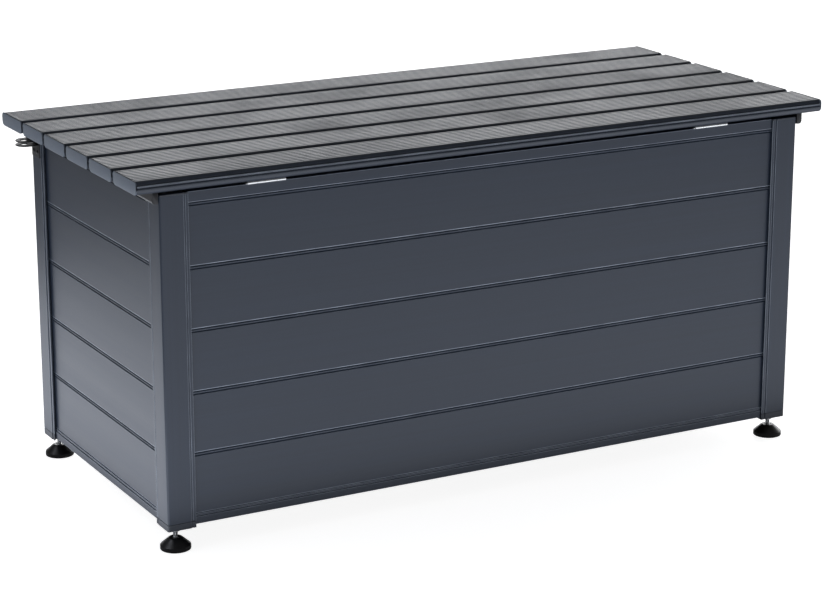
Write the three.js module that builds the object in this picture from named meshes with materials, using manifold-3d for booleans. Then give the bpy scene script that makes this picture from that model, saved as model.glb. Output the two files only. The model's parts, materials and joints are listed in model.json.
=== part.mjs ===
// Deck storage box in powder-coated aluminium: four corner posts with slotted wall boards, a lid of
// grooved slats on two butt hinges, gas lid stays, padlock tabs and levelling feet.
// Millimetres, +Z up. The origin is on the floor under the middle of the lid. The hinged side faces -Y.

import * as THREE from 'three';
import { mergeVertices } from 'three/addons/utils/BufferGeometryUtils.js';
import Module from 'manifold-3d';

const wasm = await Module();
wasm.setup();

// ---- Driving dimensions ----

// Casing
const bodyLength = 1178; // over the post faces, along X
const bodyDepth = 540; // over the post faces, along Y
const boardCount = 5;
const boardPitch = 100;
const boardThickness = 16;
const boardWall = 1;
const boardSetback = 6; // board face behind the post face
const boardGrooveDepth = 1; // decorative V-groove near each board's top edge
const boardGrooveDrop = 4;
const boardEdgeChamfer = 1.5;
const tongueHeight = 6;
const tongueWidth = 5.4;

// Corner posts
const postTube = 42;
const postWall = 2.6;
const postCornerRadius = 3;
const postFlangeReach = 6; // how far the flanges of a board channel stand out from the tube
const postLipSetback = 0.8;
const postLipThickness = 2;
const postInnerFlange = 2;
const postReveal = { inset: 2, width: 3, depth: 1.6 }; // shadow groove beside the outer flange

// Rails
const railSetback = 4;
const bottomRailHeight = 12;
const floorLedge = 16; // ledge that carries the floor, inwards from the boards
const railWall = 1.6;
const railSeam = { height: 1, depth: 1.2 };
const railLipHeight = 3.7;
const topRailHeight = 17.2;
const topRailInside = 2; // top rail past the inner face of the boards
const floorThickness = 5;

// Heights
const railUnderside = 40;
const postDrop = 4; // post foot below the bottom rail

// Lid
const slatCount = 6;
const slatGap = 7;
const slatThickness = 21.5;
const slatWall = 1.4;
const slatShoulder = 8; // rounded shoulder beside the grooved top
const slatShoulderDrop = 7;
const slatLedge = 2.4; // flat step at the foot of the shoulder
const slatBottomRadius = 4;
const slatGrooveCount = 8;
const slatGrooveDepth = 1;
const lidEndOverhang = 42;
const lidRearOverhang = 13;
const lidFrontOverhang = 22;
const lidGap = 6.5; // between casing and slats, filled by the hinges
const battenHeight = 19;
const battenThickness = 10;
const battenRadius = 5;
const battenOffset = 1.5; // end batten from the post face
const centreBattenWidth = 28;
const centreBattenInset = 6;
const battenWall = 1.5;

// Hinges
const hingeInset = 177.5; // middle of a hinge from the end of the casing
const hingeLength = 65;
const hingeKnuckle = 33; // length of the middle knuckle
const hingePinRadius = 1.5;
const hingeLeafThickness = 1.4;
const hingeLeafLength = 20;
const hingeAxisOutside = 1; // hinge axis behind the post face
const hingeClearance = 0.3;

// Padlock tabs
const tabWidth = 34;
const tabReach = 36;
const tabThickness = 2;
const tabHoleRadius = 6;
const tabHoleOut = 22; // hole centre from the end face of the post
const tabInset = 23; // hole centre from the front face of the post
const tabSpacing = 5;
const tabFlangeHeight = 24;

// Levelling feet
const footInset = 20;
const padRadius = 24.5;
const padRim = 7;
const padHeight = 19.5;
const padTopRadius = 10.5;
const padEdgeRadius = 1.5;
const padSocketDepth = 11;
const studRadius = 4;
const studTop = 75;
const studChamfer = 1;
const socketClearance = 0.4;

// Gas lid stays
const stayPostGap = 3; // stay cylinder from the flanges of the corner posts
const stayHingeOffset = 64; // both pivots from the hinge axis with the lid shut
const stayLowerDrop = 230; // lower pivot below the hinge axis
const stayUpperDrop = 22; // upper pivot below the hinge axis with the lid shut
const stayCylinderRadius = 8;
const stayBoreRadius = 6;
const stayRodRadius = 3;
const stayPistonRadius = 5.7;
const stayPistonLength = 8;
const stayEyeRadius = 6;
const stayCylinderStart = 14; // from the lower pivot
const stayCylinderLength = 134;
const stayNeck = 6;
const stayBoreStart = 8; // solid base of the cylinder

// Clearances
const touchGap = 0.3; // between pieces that rest on each other
const slideGap = 0.5; // around boards in their channels

// ---- Places worked out from the sizes ----

const lidDepth = bodyDepth + lidRearOverhang + lidFrontOverhang;
const slatWidth = (lidDepth - (slatCount - 1) * slatGap) / slatCount;
const lidLength = bodyLength + 2 * lidEndOverhang;
const casingY = (lidRearOverhang - lidFrontOverhang) / 2; // middle of the casing
const railTopZ = railUnderside + bottomRailHeight;
const boardsZ = railTopZ + railSeam.height + railLipHeight + touchGap;
const topRailZ = boardsZ + boardCount * boardPitch;
const casingTopZ = topRailZ + touchGap + topRailHeight;
const slatUndersideZ = casingTopZ + lidGap;
const postFootZ = railUnderside - postDrop;
const postSpan = postTube + postFlangeReach;
const boardBack = boardSetback + boardThickness;
const channelInner = boardBack + slideGap;
const ledgeEdge = boardBack + floorLedge;
const topRailBack = boardBack + topRailInside;
const hingeY = casingY - bodyDepth / 2 - hingeAxisOutside;
const hingeZ = casingTopZ + lidGap / 2;
const hingeRadius = lidGap / 2 - touchGap;
const battenUndersideZ = slatUndersideZ - touchGap - battenHeight;
const slatPitch = slatWidth + slatGap;
const tongueCentre = boardThickness / 2;

// ---- Shape helpers ----

/** A THREE.Shape through [x, y] points, with an optional hole through further points. */
function outline(points, hole) {
  const shape = new THREE.Shape(points.map(([x, y]) => new THREE.Vector2(x, y)));
  if (hole) shape.holes.push(new THREE.Path(hole.map(([x, y]) => new THREE.Vector2(x, y))));
  return shape;
}

/** The four corners of a rectangle. */
function rectangle(x0, y0, x1, y1) {
  return [[x0, y0], [x1, y0], [x1, y1], [x0, y1]];
}

/** Points of an arc about a centre, angles in degrees. */
function arc(cx, cy, radius, fromDegrees, toDegrees, steps) {
  return Array.from({ length: steps + 1 }, (_, i) => {
    const a = THREE.MathUtils.degToRad(fromDegrees + ((toDegrees - fromDegrees) * i) / steps);
    return [cx + radius * Math.cos(a), cy + radius * Math.sin(a)];
  });
}

/** Extrudes a shape upwards from z0 to z1. */
function extrudeUp(shape, z0, z1) {
  return new THREE.ExtrudeGeometry(shape, { depth: z1 - z0, bevelEnabled: false }).translate(0, 0, z0);
}

/** Extrudes a (y, z) section along X from x0 to x1. */
function extrudeAlongX(shape, x0, x1) {
  const turn = new THREE.Matrix4().set(0, 0, 1, 0, 1, 0, 0, 0, 0, 1, 0, 0, 0, 0, 0, 1);
  return extrudeUp(shape, x0, x1).applyMatrix4(turn);
}

/** A closed geometry as a manifold-3d solid. */
function solid(geometry) {
  const bare = geometry.clone();
  bare.deleteAttribute('normal');
  bare.deleteAttribute('uv');
  const merged = mergeVertices(bare, 1e-4);
  return new wasm.Manifold(new wasm.Mesh({
    numProp: 3,
    vertProperties: merged.attributes.position.array,
    triVerts: new Uint32Array(merged.index.array),
  }));
}

/** A manifold-3d solid as a geometry. */
function geometryOf(manifold) {
  const mesh = manifold.getMesh();
  const geometry = new THREE.BufferGeometry();
  geometry.setAttribute('position', new THREE.BufferAttribute(new Float32Array(mesh.vertProperties), 3));
  geometry.setIndex(new THREE.BufferAttribute(new Uint32Array(mesh.triVerts), 1));
  geometry.computeVertexNormals();
  return geometry;
}

/** The union of geometries that overlap one another. */
function join(...geometries) {
  return geometryOf(geometries.map(solid).reduce((a, b) => a.add(b)));
}

/** The first geometry with the others cut away. */
function cut(geometry, ...tools) {
  return geometryOf(tools.map(solid).reduce((a, b) => a.subtract(b), solid(geometry)));
}

// ---- Finishes ----

const finishes = {
  anthracite: new THREE.MeshStandardMaterial({ color: 0x3c4147, roughness: 0.5, metalness: 0.4 }),
  slat: new THREE.MeshStandardMaterial({ color: 0x4a5058, roughness: 0.42, metalness: 0.45 }),
  black: new THREE.MeshStandardMaterial({ color: 0x0c0c0d, roughness: 0.6, metalness: 0.1 }),
  steel: new THREE.MeshStandardMaterial({ color: 0xc8cacc, roughness: 0.3, metalness: 0.9 }),
  floor: new THREE.MeshStandardMaterial({ color: 0x2b2d30, roughness: 0.8, metalness: 0 }),
};

/** A named mesh. */
function piece(name, geometry, finish) {
  const mesh = new THREE.Mesh(geometry, finish);
  mesh.name = name;
  return mesh;
}

// ---- Corner posts ----

/** Post section with its outer corner at the origin, one board channel along each leg. */
function postSection() {
  const lipInner = postLipSetback + postLipThickness;
  const inner = channelInner;
  const from = postTube - postReveal.inset;
  const to = from + postReveal.width;
  const depth = postReveal.depth;
  const leg = [
    [from, 0],
    [from, depth],
    [to, depth],
    [to, postLipSetback],
    [postSpan, postLipSetback],
    [postSpan, lipInner],
    [postTube, lipInner],
    [postTube, inner],
    [postSpan, inner],
    [postSpan, inner + postInnerFlange],
    [postTube, inner + postInnerFlange],
  ];
  const corner = arc(postCornerRadius, postCornerRadius, postCornerRadius, 180, 270, 4);
  const otherLeg = leg.map(([u, v]) => [v, u]).reverse();
  const tubeHole = rectangle(postWall, postWall, postTube - postWall, postTube - postWall);
  return outline([...corner, ...leg, [postTube, postTube], ...otherLeg], tubeHole);
}

/** The four posts, each turned so that its outer corner is a corner of the casing. */
function posts() {
  const corners = [
    ['rear_left', -1, -1, 0],
    ['rear_right', 1, -1, 90],
    ['front_right', 1, 1, 180],
    ['front_left', -1, 1, 270],
  ];
  return corners.map(([name, sx, sy, turn]) => {
    const post = piece(`${name}_post`, extrudeUp(postSection(), postFootZ, casingTopZ), finishes.anthracite);
    post.position.set((sx * bodyLength) / 2, (sy * bodyDepth) / 2, 0);
    post.rotation.z = THREE.MathUtils.degToRad(turn);
    return post;
  });
}

// ---- Walls: each is built facing -Y and turned into place ----

/** Board section: a closed tube with a groove below, a tongue above and a fine V-groove in its face. */
function boardSection() {
  const top = boardPitch - touchGap;
  const grooveZ = top - boardGrooveDrop;
  const slot = tongueWidth / 2 + touchGap;
  const tongue = tongueWidth / 2;
  const slotDepth = tongueHeight + slideGap;
  const points = [
    [0, 0],
    [tongueCentre - slot, 0],
    [tongueCentre - slot, slotDepth],
    [tongueCentre + slot, slotDepth],
    [tongueCentre + slot, 0],
    [boardThickness, 0],
    [boardThickness, top],
    [tongueCentre + tongue, top],
    [tongueCentre + tongue, top + tongueHeight],
    [tongueCentre - tongue, top + tongueHeight],
    [tongueCentre - tongue, top],
    [boardEdgeChamfer, top],
    [0, top - boardEdgeChamfer],
    [0, grooveZ + boardGrooveDepth],
    [boardGrooveDepth, grooveZ],
    [0, grooveZ - boardGrooveDepth],
  ];
  const holeTop = grooveZ - 2 * boardGrooveDepth;
  const hole = rectangle(boardWall, slotDepth + boardWall, boardThickness - boardWall, holeTop);
  return outline(points, hole);
}

/** Bottom rail section: a tube with a seam, a lip under the boards, a tongue and a ledge for the floor. */
function bottomRailSection() {
  const lipTop = railTopZ + railSeam.height + railLipHeight;
  const tongue = tongueWidth / 2;
  const centre = boardSetback + tongueCentre;
  const lipFace = railSetback + railSeam.depth / 2;
  const points = [
    [railSetback, railUnderside],
    [ledgeEdge, railUnderside],
    [ledgeEdge, railTopZ],
    [boardBack, railTopZ],
    [boardBack, lipTop],
    [centre + tongue, lipTop],
    [centre + tongue, lipTop + tongueHeight],
    [centre - tongue, lipTop + tongueHeight],
    [centre - tongue, lipTop],
    [lipFace, lipTop],
    [lipFace, railTopZ + railSeam.height],
    [railSetback + railSeam.depth, railTopZ + railSeam.height],
    [railSetback + railSeam.depth, railTopZ],
    [railSetback, railTopZ],
  ];
  const hole = rectangle(
    railSetback + railWall,
    railUnderside + railWall,
    ledgeEdge - railWall,
    railTopZ - railWall,
  );
  return outline(points, hole);
}

/** Top rail section: a tube with a slot for the top board's tongue. */
function topRailSection() {
  const z0 = topRailZ + touchGap;
  const slot = tongueWidth / 2 + touchGap;
  const centre = boardSetback + tongueCentre;
  const slotDepth = tongueHeight + slideGap;
  const points = [
    [railSetback, z0],
    [centre - slot, z0],
    [centre - slot, z0 + slotDepth],
    [centre + slot, z0 + slotDepth],
    [centre + slot, z0],
    [topRailBack, z0],
    [topRailBack, casingTopZ],
    [railSetback, casingTopZ],
  ];
  const hole = rectangle(
    railSetback + railWall,
    z0 + slotDepth + railWall,
    topRailBack - railWall,
    casingTopZ - railWall,
  );
  return outline(points, hole);
}

/** One wall between two posts, with `span` the distance over the post faces. */
function wall(name, span) {
  const group = new THREE.Group();
  const boardEnd = span / 2 - postTube - slideGap;
  const railEnd = span / 2 - postSpan - touchGap;
  for (let i = 0; i < boardCount; i++) {
    const board = piece(
      `${name}_board_${i + 1}`,
      extrudeAlongX(boardSection(), -boardEnd, boardEnd),
      finishes.anthracite,
    );
    board.position.set(0, boardSetback, boardsZ + i * boardPitch);
    group.add(board);
  }
  const bottomRail = extrudeAlongX(bottomRailSection(), -railEnd, railEnd);
  const topRail = extrudeAlongX(topRailSection(), -railEnd, railEnd);
  group.add(piece(`${name}_bottom_rail`, bottomRail, finishes.anthracite));
  group.add(piece(`${name}_top_rail`, topRail, finishes.anthracite));
  return group;
}

/** The four walls, each with its outer face on its own side of the casing. */
function walls() {
  const sides = [
    ['rear', bodyLength, bodyDepth, 0],
    ['right', bodyDepth, bodyLength, 90],
    ['front', bodyLength, bodyDepth, 180],
    ['left', bodyDepth, bodyLength, 270],
  ];
  return sides.map(([name, span, across, turn]) => {
    const side = wall(name, span);
    const angle = THREE.MathUtils.degToRad(turn);
    side.rotation.z = angle;
    side.position.set((Math.sin(angle) * across) / 2, (-Math.cos(angle) * across) / 2, 0);
    return side;
  });
}

/** Floor panel on the ledges of the bottom rails, notched around the posts. */
function floorPanel() {
  const edge = boardBack + touchGap;
  const notch = postSpan + touchGap;
  const x = bodyLength / 2;
  const y = bodyDepth / 2;
  const quarter = [
    [x - edge, y - notch],
    [x - notch, y - notch],
    [x - notch, y - edge],
  ];
  const points = [
    ...quarter,
    ...quarter.map(([a, b]) => [-a, b]).reverse(),
    ...quarter.map(([a, b]) => [-a, -b]),
    ...quarter.map(([a, b]) => [a, -b]).reverse(),
  ];
  const z0 = railTopZ + touchGap;
  return piece('floor_panel', extrudeUp(outline(points), z0, z0 + floorThickness), finishes.floor);
}

// ---- Lid ----

/** Slat section centred on Y: grooved top, rounded shoulders, a small ledge and rounded lower edges. */
function slatSection() {
  const half = slatWidth / 2;
  const top = slatThickness;
  const flat = half - slatShoulder;
  const groovePitch = (2 * flat) / slatGrooveCount;
  const grooveHalf = groovePitch * 0.22;
  const lower = arc(half - slatBottomRadius, slatBottomRadius, slatBottomRadius, -90, 0, 4);
  const shoulderWidth = slatShoulder - slatLedge;
  const shoulder = [60, 30, 0].map((degrees) => {
    const a = THREE.MathUtils.degToRad(90 - degrees);
    return [flat + shoulderWidth * Math.sin(a), top - slatShoulderDrop * (1 - Math.cos(a))];
  }).reverse();
  const side = [...lower, [half, top - slatShoulderDrop], ...shoulder, [flat, top]];
  const grooves = Array.from({ length: slatGrooveCount }, (_, i) => {
    const centre = flat - (i + 0.5) * groovePitch;
    return [
      [centre + grooveHalf, top],
      [centre, top - slatGrooveDepth],
      [centre - grooveHalf, top],
    ];
  }).flat();
  const mirrored = side.map(([y, z]) => [-y, z]).reverse();
  const holeSide = [
    [half - slatBottomRadius, slatWall],
    [half - slatLedge - slatWall, slatBottomRadius],
    [half - slatLedge - slatWall, top - slatShoulderDrop - slatWall],
    [flat - slatWall, top - slatGrooveDepth - slatWall],
  ];
  const hole = [...holeSide, ...holeSide.map(([y, z]) => [-y, z]).reverse()];
  return outline([...side, ...grooves, ...mirrored], hole);
}

/** The slats, numbered from the hinged side. */
function slats() {
  return Array.from({ length: slatCount }, (_, i) => {
    const slat = piece(
      `slat_${i + 1}`,
      extrudeAlongX(slatSection(), -lidLength / 2, lidLength / 2),
      finishes.slat,
    );
    slat.position.set(0, -lidDepth / 2 + slatWidth / 2 + i * slatPitch, slatUndersideZ);
    return slat;
  });
}

/** End battens under the slats, just outside the end walls, with a rounded lower outer edge. */
function endBattens() {
  const r = battenRadius;
  const points = [
    [0, 0],
    ...arc(battenThickness - r, r, r, -90, 0, 4),
    [battenThickness, battenHeight],
    [0, battenHeight],
  ];
  const hole = rectangle(
    battenWall,
    battenWall + r / 2,
    battenThickness - battenWall,
    battenHeight - battenWall,
  );
  return [['left', -1, 270], ['right', 1, 90]].map(([name, side, turn]) => {
    const section = outline(points.map(([x, z]) => [-x, z]).reverse(), hole.map(([x, z]) => [-x, z]));
    const batten = piece(
      `end_batten_${name}`,
      extrudeAlongX(section, -bodyDepth / 2, bodyDepth / 2),
      finishes.black,
    );
    batten.position.set(side * (bodyLength / 2 + battenOffset), casingY, battenUndersideZ);
    batten.rotation.z = THREE.MathUtils.degToRad(turn);
    return batten;
  });
}

/** Batten across the middle of the slats, inside the casing. */
function centreBatten() {
  const inset = topRailBack + centreBattenInset;
  const length = bodyDepth - 2 * inset;
  const half = centreBattenWidth / 2;
  const section = outline(
    rectangle(-half, 0, half, battenHeight),
    rectangle(-half + battenWall, battenWall, half - battenWall, battenHeight - battenWall),
  );
  const batten = piece('centre_batten', extrudeAlongX(section, -length / 2, length / 2), finishes.black);
  batten.position.set(0, casingY, battenUndersideZ);
  batten.rotation.z = Math.PI / 2;
  return batten;
}

// ---- Hinges ----

/** A leaf in the (y, z) plane of the hinge, reaching from its knuckle to the leaf's free edge. */
function leafPlate(z0, z1, fromY, x0, x1) {
  return extrudeAlongX(outline(rectangle(fromY, z0, hingeLeafLength, z1)), x0, x1);
}

/** A round bar along X about the hinge axis. */
function hingeBar(radius, x0, x1) {
  const points = arc(0, 0, radius, 0, 360, 16).slice(0, -1);
  return extrudeAlongX(outline(points), x0, x1);
}

/** Lower leaf with the middle knuckle and the pin that runs through all three knuckles. */
function casingLeaf() {
  const z0 = -lidGap / 2 + touchGap;
  const z1 = z0 + hingeLeafThickness;
  const half = hingeKnuckle / 2;
  const end = hingeLength / 2;
  return join(
    leafPlate(z0, z1, hingeRadius + hingeClearance, -end, end),
    leafPlate(z0, z1, 0, -half, half),
    hingeBar(hingeRadius, -half, half),
    hingeBar(hingePinRadius, -end, end),
  );
}

/** Upper leaf with the two outer knuckles, bored for the pin. */
function lidLeaf() {
  const z1 = lidGap / 2 - touchGap;
  const z0 = z1 - hingeLeafThickness;
  const inner = hingeKnuckle / 2 + hingeClearance;
  const end = hingeLength / 2;
  const clearOfKnuckle = hingeRadius + hingeClearance;
  return cut(
    join(
      leafPlate(z0, z1, clearOfKnuckle, -end, end),
      leafPlate(z0, z1, 0, -end, -inner),
      leafPlate(z0, z1, 0, inner, end),
      hingeBar(hingeRadius, -end, -inner),
      hingeBar(hingeRadius, inner, end),
    ),
    hingeBar(hingePinRadius + hingeClearance, -end - 1, end + 1),
  );
}

/** The two hinges as pairs of leaves. */
function hinges() {
  return [['left', -1], ['right', 1]].flatMap(([name, side]) => {
    const lower = piece(`hinge_${name}_casing_leaf`, casingLeaf(), finishes.steel);
    const upper = piece(`hinge_${name}_lid_leaf`, lidLeaf(), finishes.steel);
    const x = side * (bodyLength / 2 - hingeInset);
    lower.position.set(x, hingeY, hingeZ);
    upper.position.set(x, hingeY, hingeZ);
    return [lower, upper];
  });
}

// ---- Padlock tabs ----

/** Outline of a tab, its root at x = 0 and its rounded end towards -X, with the shackle hole. */
function tabOutline() {
  const r = tabWidth / 2;
  const shape = outline([
    [0, r],
    ...arc(-tabReach + r, 0, r, 90, 270, 12),
    [0, -r],
  ]);
  const hole = arc(-tabHoleOut, 0, tabHoleRadius, 0, 360, 20).slice(0, -1);
  shape.holes.push(new THREE.Path(hole.map(([x, y]) => new THREE.Vector2(x, y))));
  return shape;
}

/** The lid's tab under the left end batten and the casing's bracket on the front left post. */
function padlockTabs() {
  const x = -bodyLength / 2;
  const y = casingY + bodyDepth / 2 - tabInset;
  const lidTabTop = battenUndersideZ - touchGap;
  const lowerTop = lidTabTop - tabThickness - tabSpacing;
  const lidPlate = cut(
    extrudeUp(tabOutline(), lidTabTop - tabThickness, lidTabTop),
    new THREE.BoxGeometry(2 * battenOffset, 2 * tabWidth, 4 * tabThickness).translate(0, 0, lidTabTop),
  );
  const plate = extrudeUp(tabOutline(), lowerTop - tabThickness, lowerTop);
  const flange = new THREE.BoxGeometry(tabThickness, tabWidth, tabFlangeHeight)
    .translate(-tabThickness / 2, 0, lowerTop - tabFlangeHeight / 2);
  const lidTab = piece('lid_lock_tab', lidPlate, finishes.black);
  const bracket = piece('casing_lock_tab', join(plate, flange), finishes.black);
  lidTab.position.set(x, y, 0);
  bracket.position.set(x - touchGap, y, 0);
  return [lidTab, bracket];
}

// ---- Levelling feet ----

/** Conical pad with a flat base, a vertical rim and a socket for the stud. */
function padGeometry() {
  const socket = studRadius + socketClearance;
  const profile = [
    [0, 0],
    [padRadius - padEdgeRadius, 0],
    [padRadius, padEdgeRadius],
    [padRadius, padRim],
    [padTopRadius + padEdgeRadius, padHeight - padEdgeRadius],
    [padTopRadius, padHeight],
    [socket, padHeight],
    [socket, padHeight - padSocketDepth],
    [0, padHeight - padSocketDepth],
  ];
  return new THREE.LatheGeometry(profile.map(([r, z]) => new THREE.Vector2(r, z)), 32).rotateX(Math.PI / 2);
}

/** Threaded stud from the pad's socket up into the post. */
function studGeometry() {
  const z0 = padHeight - padSocketDepth + touchGap;
  const profile = [
    [0, z0],
    [studRadius, z0],
    [studRadius, studTop - studChamfer],
    [studRadius - studChamfer, studTop],
    [0, studTop],
  ];
  return new THREE.LatheGeometry(profile.map(([r, z]) => new THREE.Vector2(r, z)), 16).rotateX(Math.PI / 2);
}

/** A pad and a stud under each post. */
function feet() {
  const corners = [['rear_left', -1, -1], ['rear_right', 1, -1], ['front_right', 1, 1], ['front_left', -1, 1]];
  return corners.flatMap(([name, sx, sy]) => {
    const pad = piece(`${name}_foot_pad`, padGeometry(), finishes.black);
    const stud = piece(`${name}_foot_stud`, studGeometry(), finishes.steel);
    const x = sx * (bodyLength / 2 - footInset);
    const y = casingY + sy * (bodyDepth / 2 - footInset);
    pad.position.set(x, y, 0);
    stud.position.set(x, y, 0);
    return [pad, stud];
  });
}

// ---- Gas lid stays ----

/** Cylinder with its ball socket at the origin, open at the top for the rod. */
function stayCylinderGeometry() {
  const top = stayCylinderStart + stayCylinderLength;
  const neck = stayRodRadius + slideGap;
  const profile = [
    [0, -stayEyeRadius],
    ...arc(0, 0, stayEyeRadius, -60, 0, 3),
    [stayEyeRadius, stayCylinderStart],
    [stayCylinderRadius, stayCylinderStart],
    [stayCylinderRadius, top],
    [neck, top],
    [neck, top - stayNeck],
    [stayBoreRadius, top - stayNeck],
    [stayBoreRadius, stayCylinderStart + stayBoreStart],
    [0, stayCylinderStart + stayBoreStart],
  ];
  return new THREE.LatheGeometry(profile.map(([r, z]) => new THREE.Vector2(r, z)), 20).rotateX(Math.PI / 2);
}

/** Rod with its piston in the cylinder and its ball socket at the upper pivot. */
function stayRodGeometry() {
  const upperPivot = stayLowerDrop - stayUpperDrop;
  const piston = stayCylinderStart + stayBoreStart + 2;
  const profile = [
    [0, piston],
    [stayPistonRadius, piston],
    [stayPistonRadius, piston + stayPistonLength],
    [stayRodRadius, piston + stayPistonLength],
    [stayRodRadius, upperPivot - stayCylinderStart],
    [stayEyeRadius, upperPivot - stayCylinderStart],
    ...arc(0, upperPivot, stayEyeRadius, 0, 60, 3),
    [0, upperPivot + stayEyeRadius],
  ];
  return new THREE.LatheGeometry(profile.map(([r, z]) => new THREE.Vector2(r, z)), 16).rotateX(Math.PI / 2);
}

/** A stay inside each end wall, upright with the lid shut. */
function stays() {
  return [['left', -1], ['right', 1]].flatMap(([name, side]) => {
    const x = side * (bodyLength / 2 - postSpan - stayPostGap - stayCylinderRadius);
    const cylinder = piece(`stay_${name}_cylinder`, stayCylinderGeometry(), finishes.black);
    const rod = piece(`stay_${name}_rod`, stayRodGeometry(), finishes.steel);
    cylinder.position.set(x, hingeY + stayHingeOffset, hingeZ - stayLowerDrop);
    rod.position.copy(cylinder.position);
    return [cylinder, rod];
  });
}

// ---- Assembly ----

const casing = new THREE.Group();
casing.position.y = casingY;
casing.add(...posts(), ...walls(), floorPanel());

const box = new THREE.Group();
box.add(casing, ...slats(), ...endBattens(), centreBatten(), ...hinges(), ...padlockTabs());
box.add(...feet(), ...stays());

export default box;
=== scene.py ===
"""A deck storage box: fine surfaces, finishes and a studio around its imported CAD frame.

Metres, in the frame of the CAD model: +X along the box, -Y towards the hinges, +Z up.
Each sub-assembly is a class. Its surfaces are numpy arrays, and its places come from the frame.
"""

import json
import logging
import math
from collections.abc import Sequence
from dataclasses import dataclass
from enum import Enum

import bpy
import numpy as np
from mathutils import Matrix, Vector


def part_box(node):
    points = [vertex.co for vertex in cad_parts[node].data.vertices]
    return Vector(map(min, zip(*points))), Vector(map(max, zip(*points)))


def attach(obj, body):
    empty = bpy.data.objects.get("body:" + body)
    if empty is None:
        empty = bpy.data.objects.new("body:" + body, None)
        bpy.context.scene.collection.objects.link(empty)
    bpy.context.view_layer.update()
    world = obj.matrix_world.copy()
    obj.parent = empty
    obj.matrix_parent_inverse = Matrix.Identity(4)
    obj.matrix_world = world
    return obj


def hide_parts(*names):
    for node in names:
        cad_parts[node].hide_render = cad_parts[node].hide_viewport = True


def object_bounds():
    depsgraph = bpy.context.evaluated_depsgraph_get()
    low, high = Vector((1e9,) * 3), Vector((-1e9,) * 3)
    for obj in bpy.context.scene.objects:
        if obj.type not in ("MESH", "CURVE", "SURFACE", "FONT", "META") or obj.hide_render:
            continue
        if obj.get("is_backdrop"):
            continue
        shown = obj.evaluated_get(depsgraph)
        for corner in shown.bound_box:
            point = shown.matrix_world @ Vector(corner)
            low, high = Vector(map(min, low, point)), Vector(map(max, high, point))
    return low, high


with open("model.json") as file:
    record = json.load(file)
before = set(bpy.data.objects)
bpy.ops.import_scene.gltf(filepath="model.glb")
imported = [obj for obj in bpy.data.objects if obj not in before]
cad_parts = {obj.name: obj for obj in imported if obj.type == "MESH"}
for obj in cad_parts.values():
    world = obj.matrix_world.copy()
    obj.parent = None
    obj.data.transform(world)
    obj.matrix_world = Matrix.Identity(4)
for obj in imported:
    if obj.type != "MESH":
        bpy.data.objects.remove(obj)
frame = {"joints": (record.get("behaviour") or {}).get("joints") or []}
cad_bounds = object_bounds()

log = logging.getLogger("deck_storage_box")

SMOOTH_BELOW = math.radians(30)  # edges that turn more than this stay crisp
X, Y, Z = np.eye(3)

CORNERS = {"rear_left": (-1, -1), "rear_right": (1, -1), "front_right": (1, 1), "front_left": (-1, 1)}
SIDES = {"rear": (-Y, X), "right": (X, Y), "front": (Y, X), "left": (-X, Y)}
ENDS = {"left": -1, "right": 1}
SAME_POINT = 1e-7  # points closer than this are one point


# ---- Surfaces ----


class Ends(Enum):
    """How the first and last ring of a surface are closed."""

    CAPPED = "a flat face on each"
    JOINED = "the last ring meets the first"


@dataclass(frozen=True)
class Axes:
    """A place: an origin and the directions that a shape's own u, v and w take there."""

    origin: np.ndarray
    u: np.ndarray
    v: np.ndarray
    w: np.ndarray

    def carry(self, u: np.ndarray, v: np.ndarray, w: np.ndarray) -> np.ndarray:
        """Points origin + u*U + v*V + w*W, for arrays that broadcast together."""
        pairs = ((u, self.u), (v, self.v), (w, self.w))
        return self.origin + sum(np.asarray(value)[..., None] * axis for value, axis in pairs)


@dataclass(frozen=True)
class Shell:
    """One closed surface: points, four-sided faces, and the flat faces that close its ends."""

    points: np.ndarray
    quads: np.ndarray
    caps: tuple[np.ndarray, ...]

    def volume(self) -> float:
        """Signed volume: the sum of a.(b x c)/6 over a fan of triangles in each face.

        Returns:
            Cubic metres, negative if the faces point inwards.
        """
        total = 0.0
        for face in (self.quads, *(cap[None, :] for cap in self.caps)):
            first = self.points[face[:, :1]]
            second = self.points[face[:, 1:-1]]
            third = self.points[face[:, 2:]]
            total += float((first * np.cross(second, third)).sum()) / 6
        return total

    def facing_out(self) -> "Shell":
        """The same shell, turned over if its faces point inwards."""
        turned_over = Shell(self.points, self.quads[:, ::-1], tuple(cap[::-1] for cap in self.caps))
        return self if self.volume() >= 0 else turned_over


def loft(rings: np.ndarray, ends: Ends = Ends.CAPPED) -> Shell:
    """A surface through rings of equal length, each ring closed on itself.

    Face (i, j) has the corners (i, j), (i, j+1), (i+1, j+1) and (i+1, j) of the grid.

    Args:
        rings: Points by ring and by place round the ring, of shape (rings, around, 3).
        ends: How the first and last ring are closed.

    Returns:
        The closed shell, facing out.
    """
    count, around = rings.shape[:2]
    index = np.arange(count * around).reshape(count, around)
    caps: tuple[np.ndarray, ...] = ()
    if ends is Ends.JOINED:
        here, there = index, np.roll(index, -1, axis=0)
    else:
        here, there = index[:-1], index[1:]
        caps = (index[0, ::-1], index[-1])
    quads = np.stack([here, np.roll(here, -1, axis=1), np.roll(there, -1, axis=1), there], axis=-1)
    return Shell(rings.reshape(-1, 3), quads.reshape(-1, 4), caps).facing_out()


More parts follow.
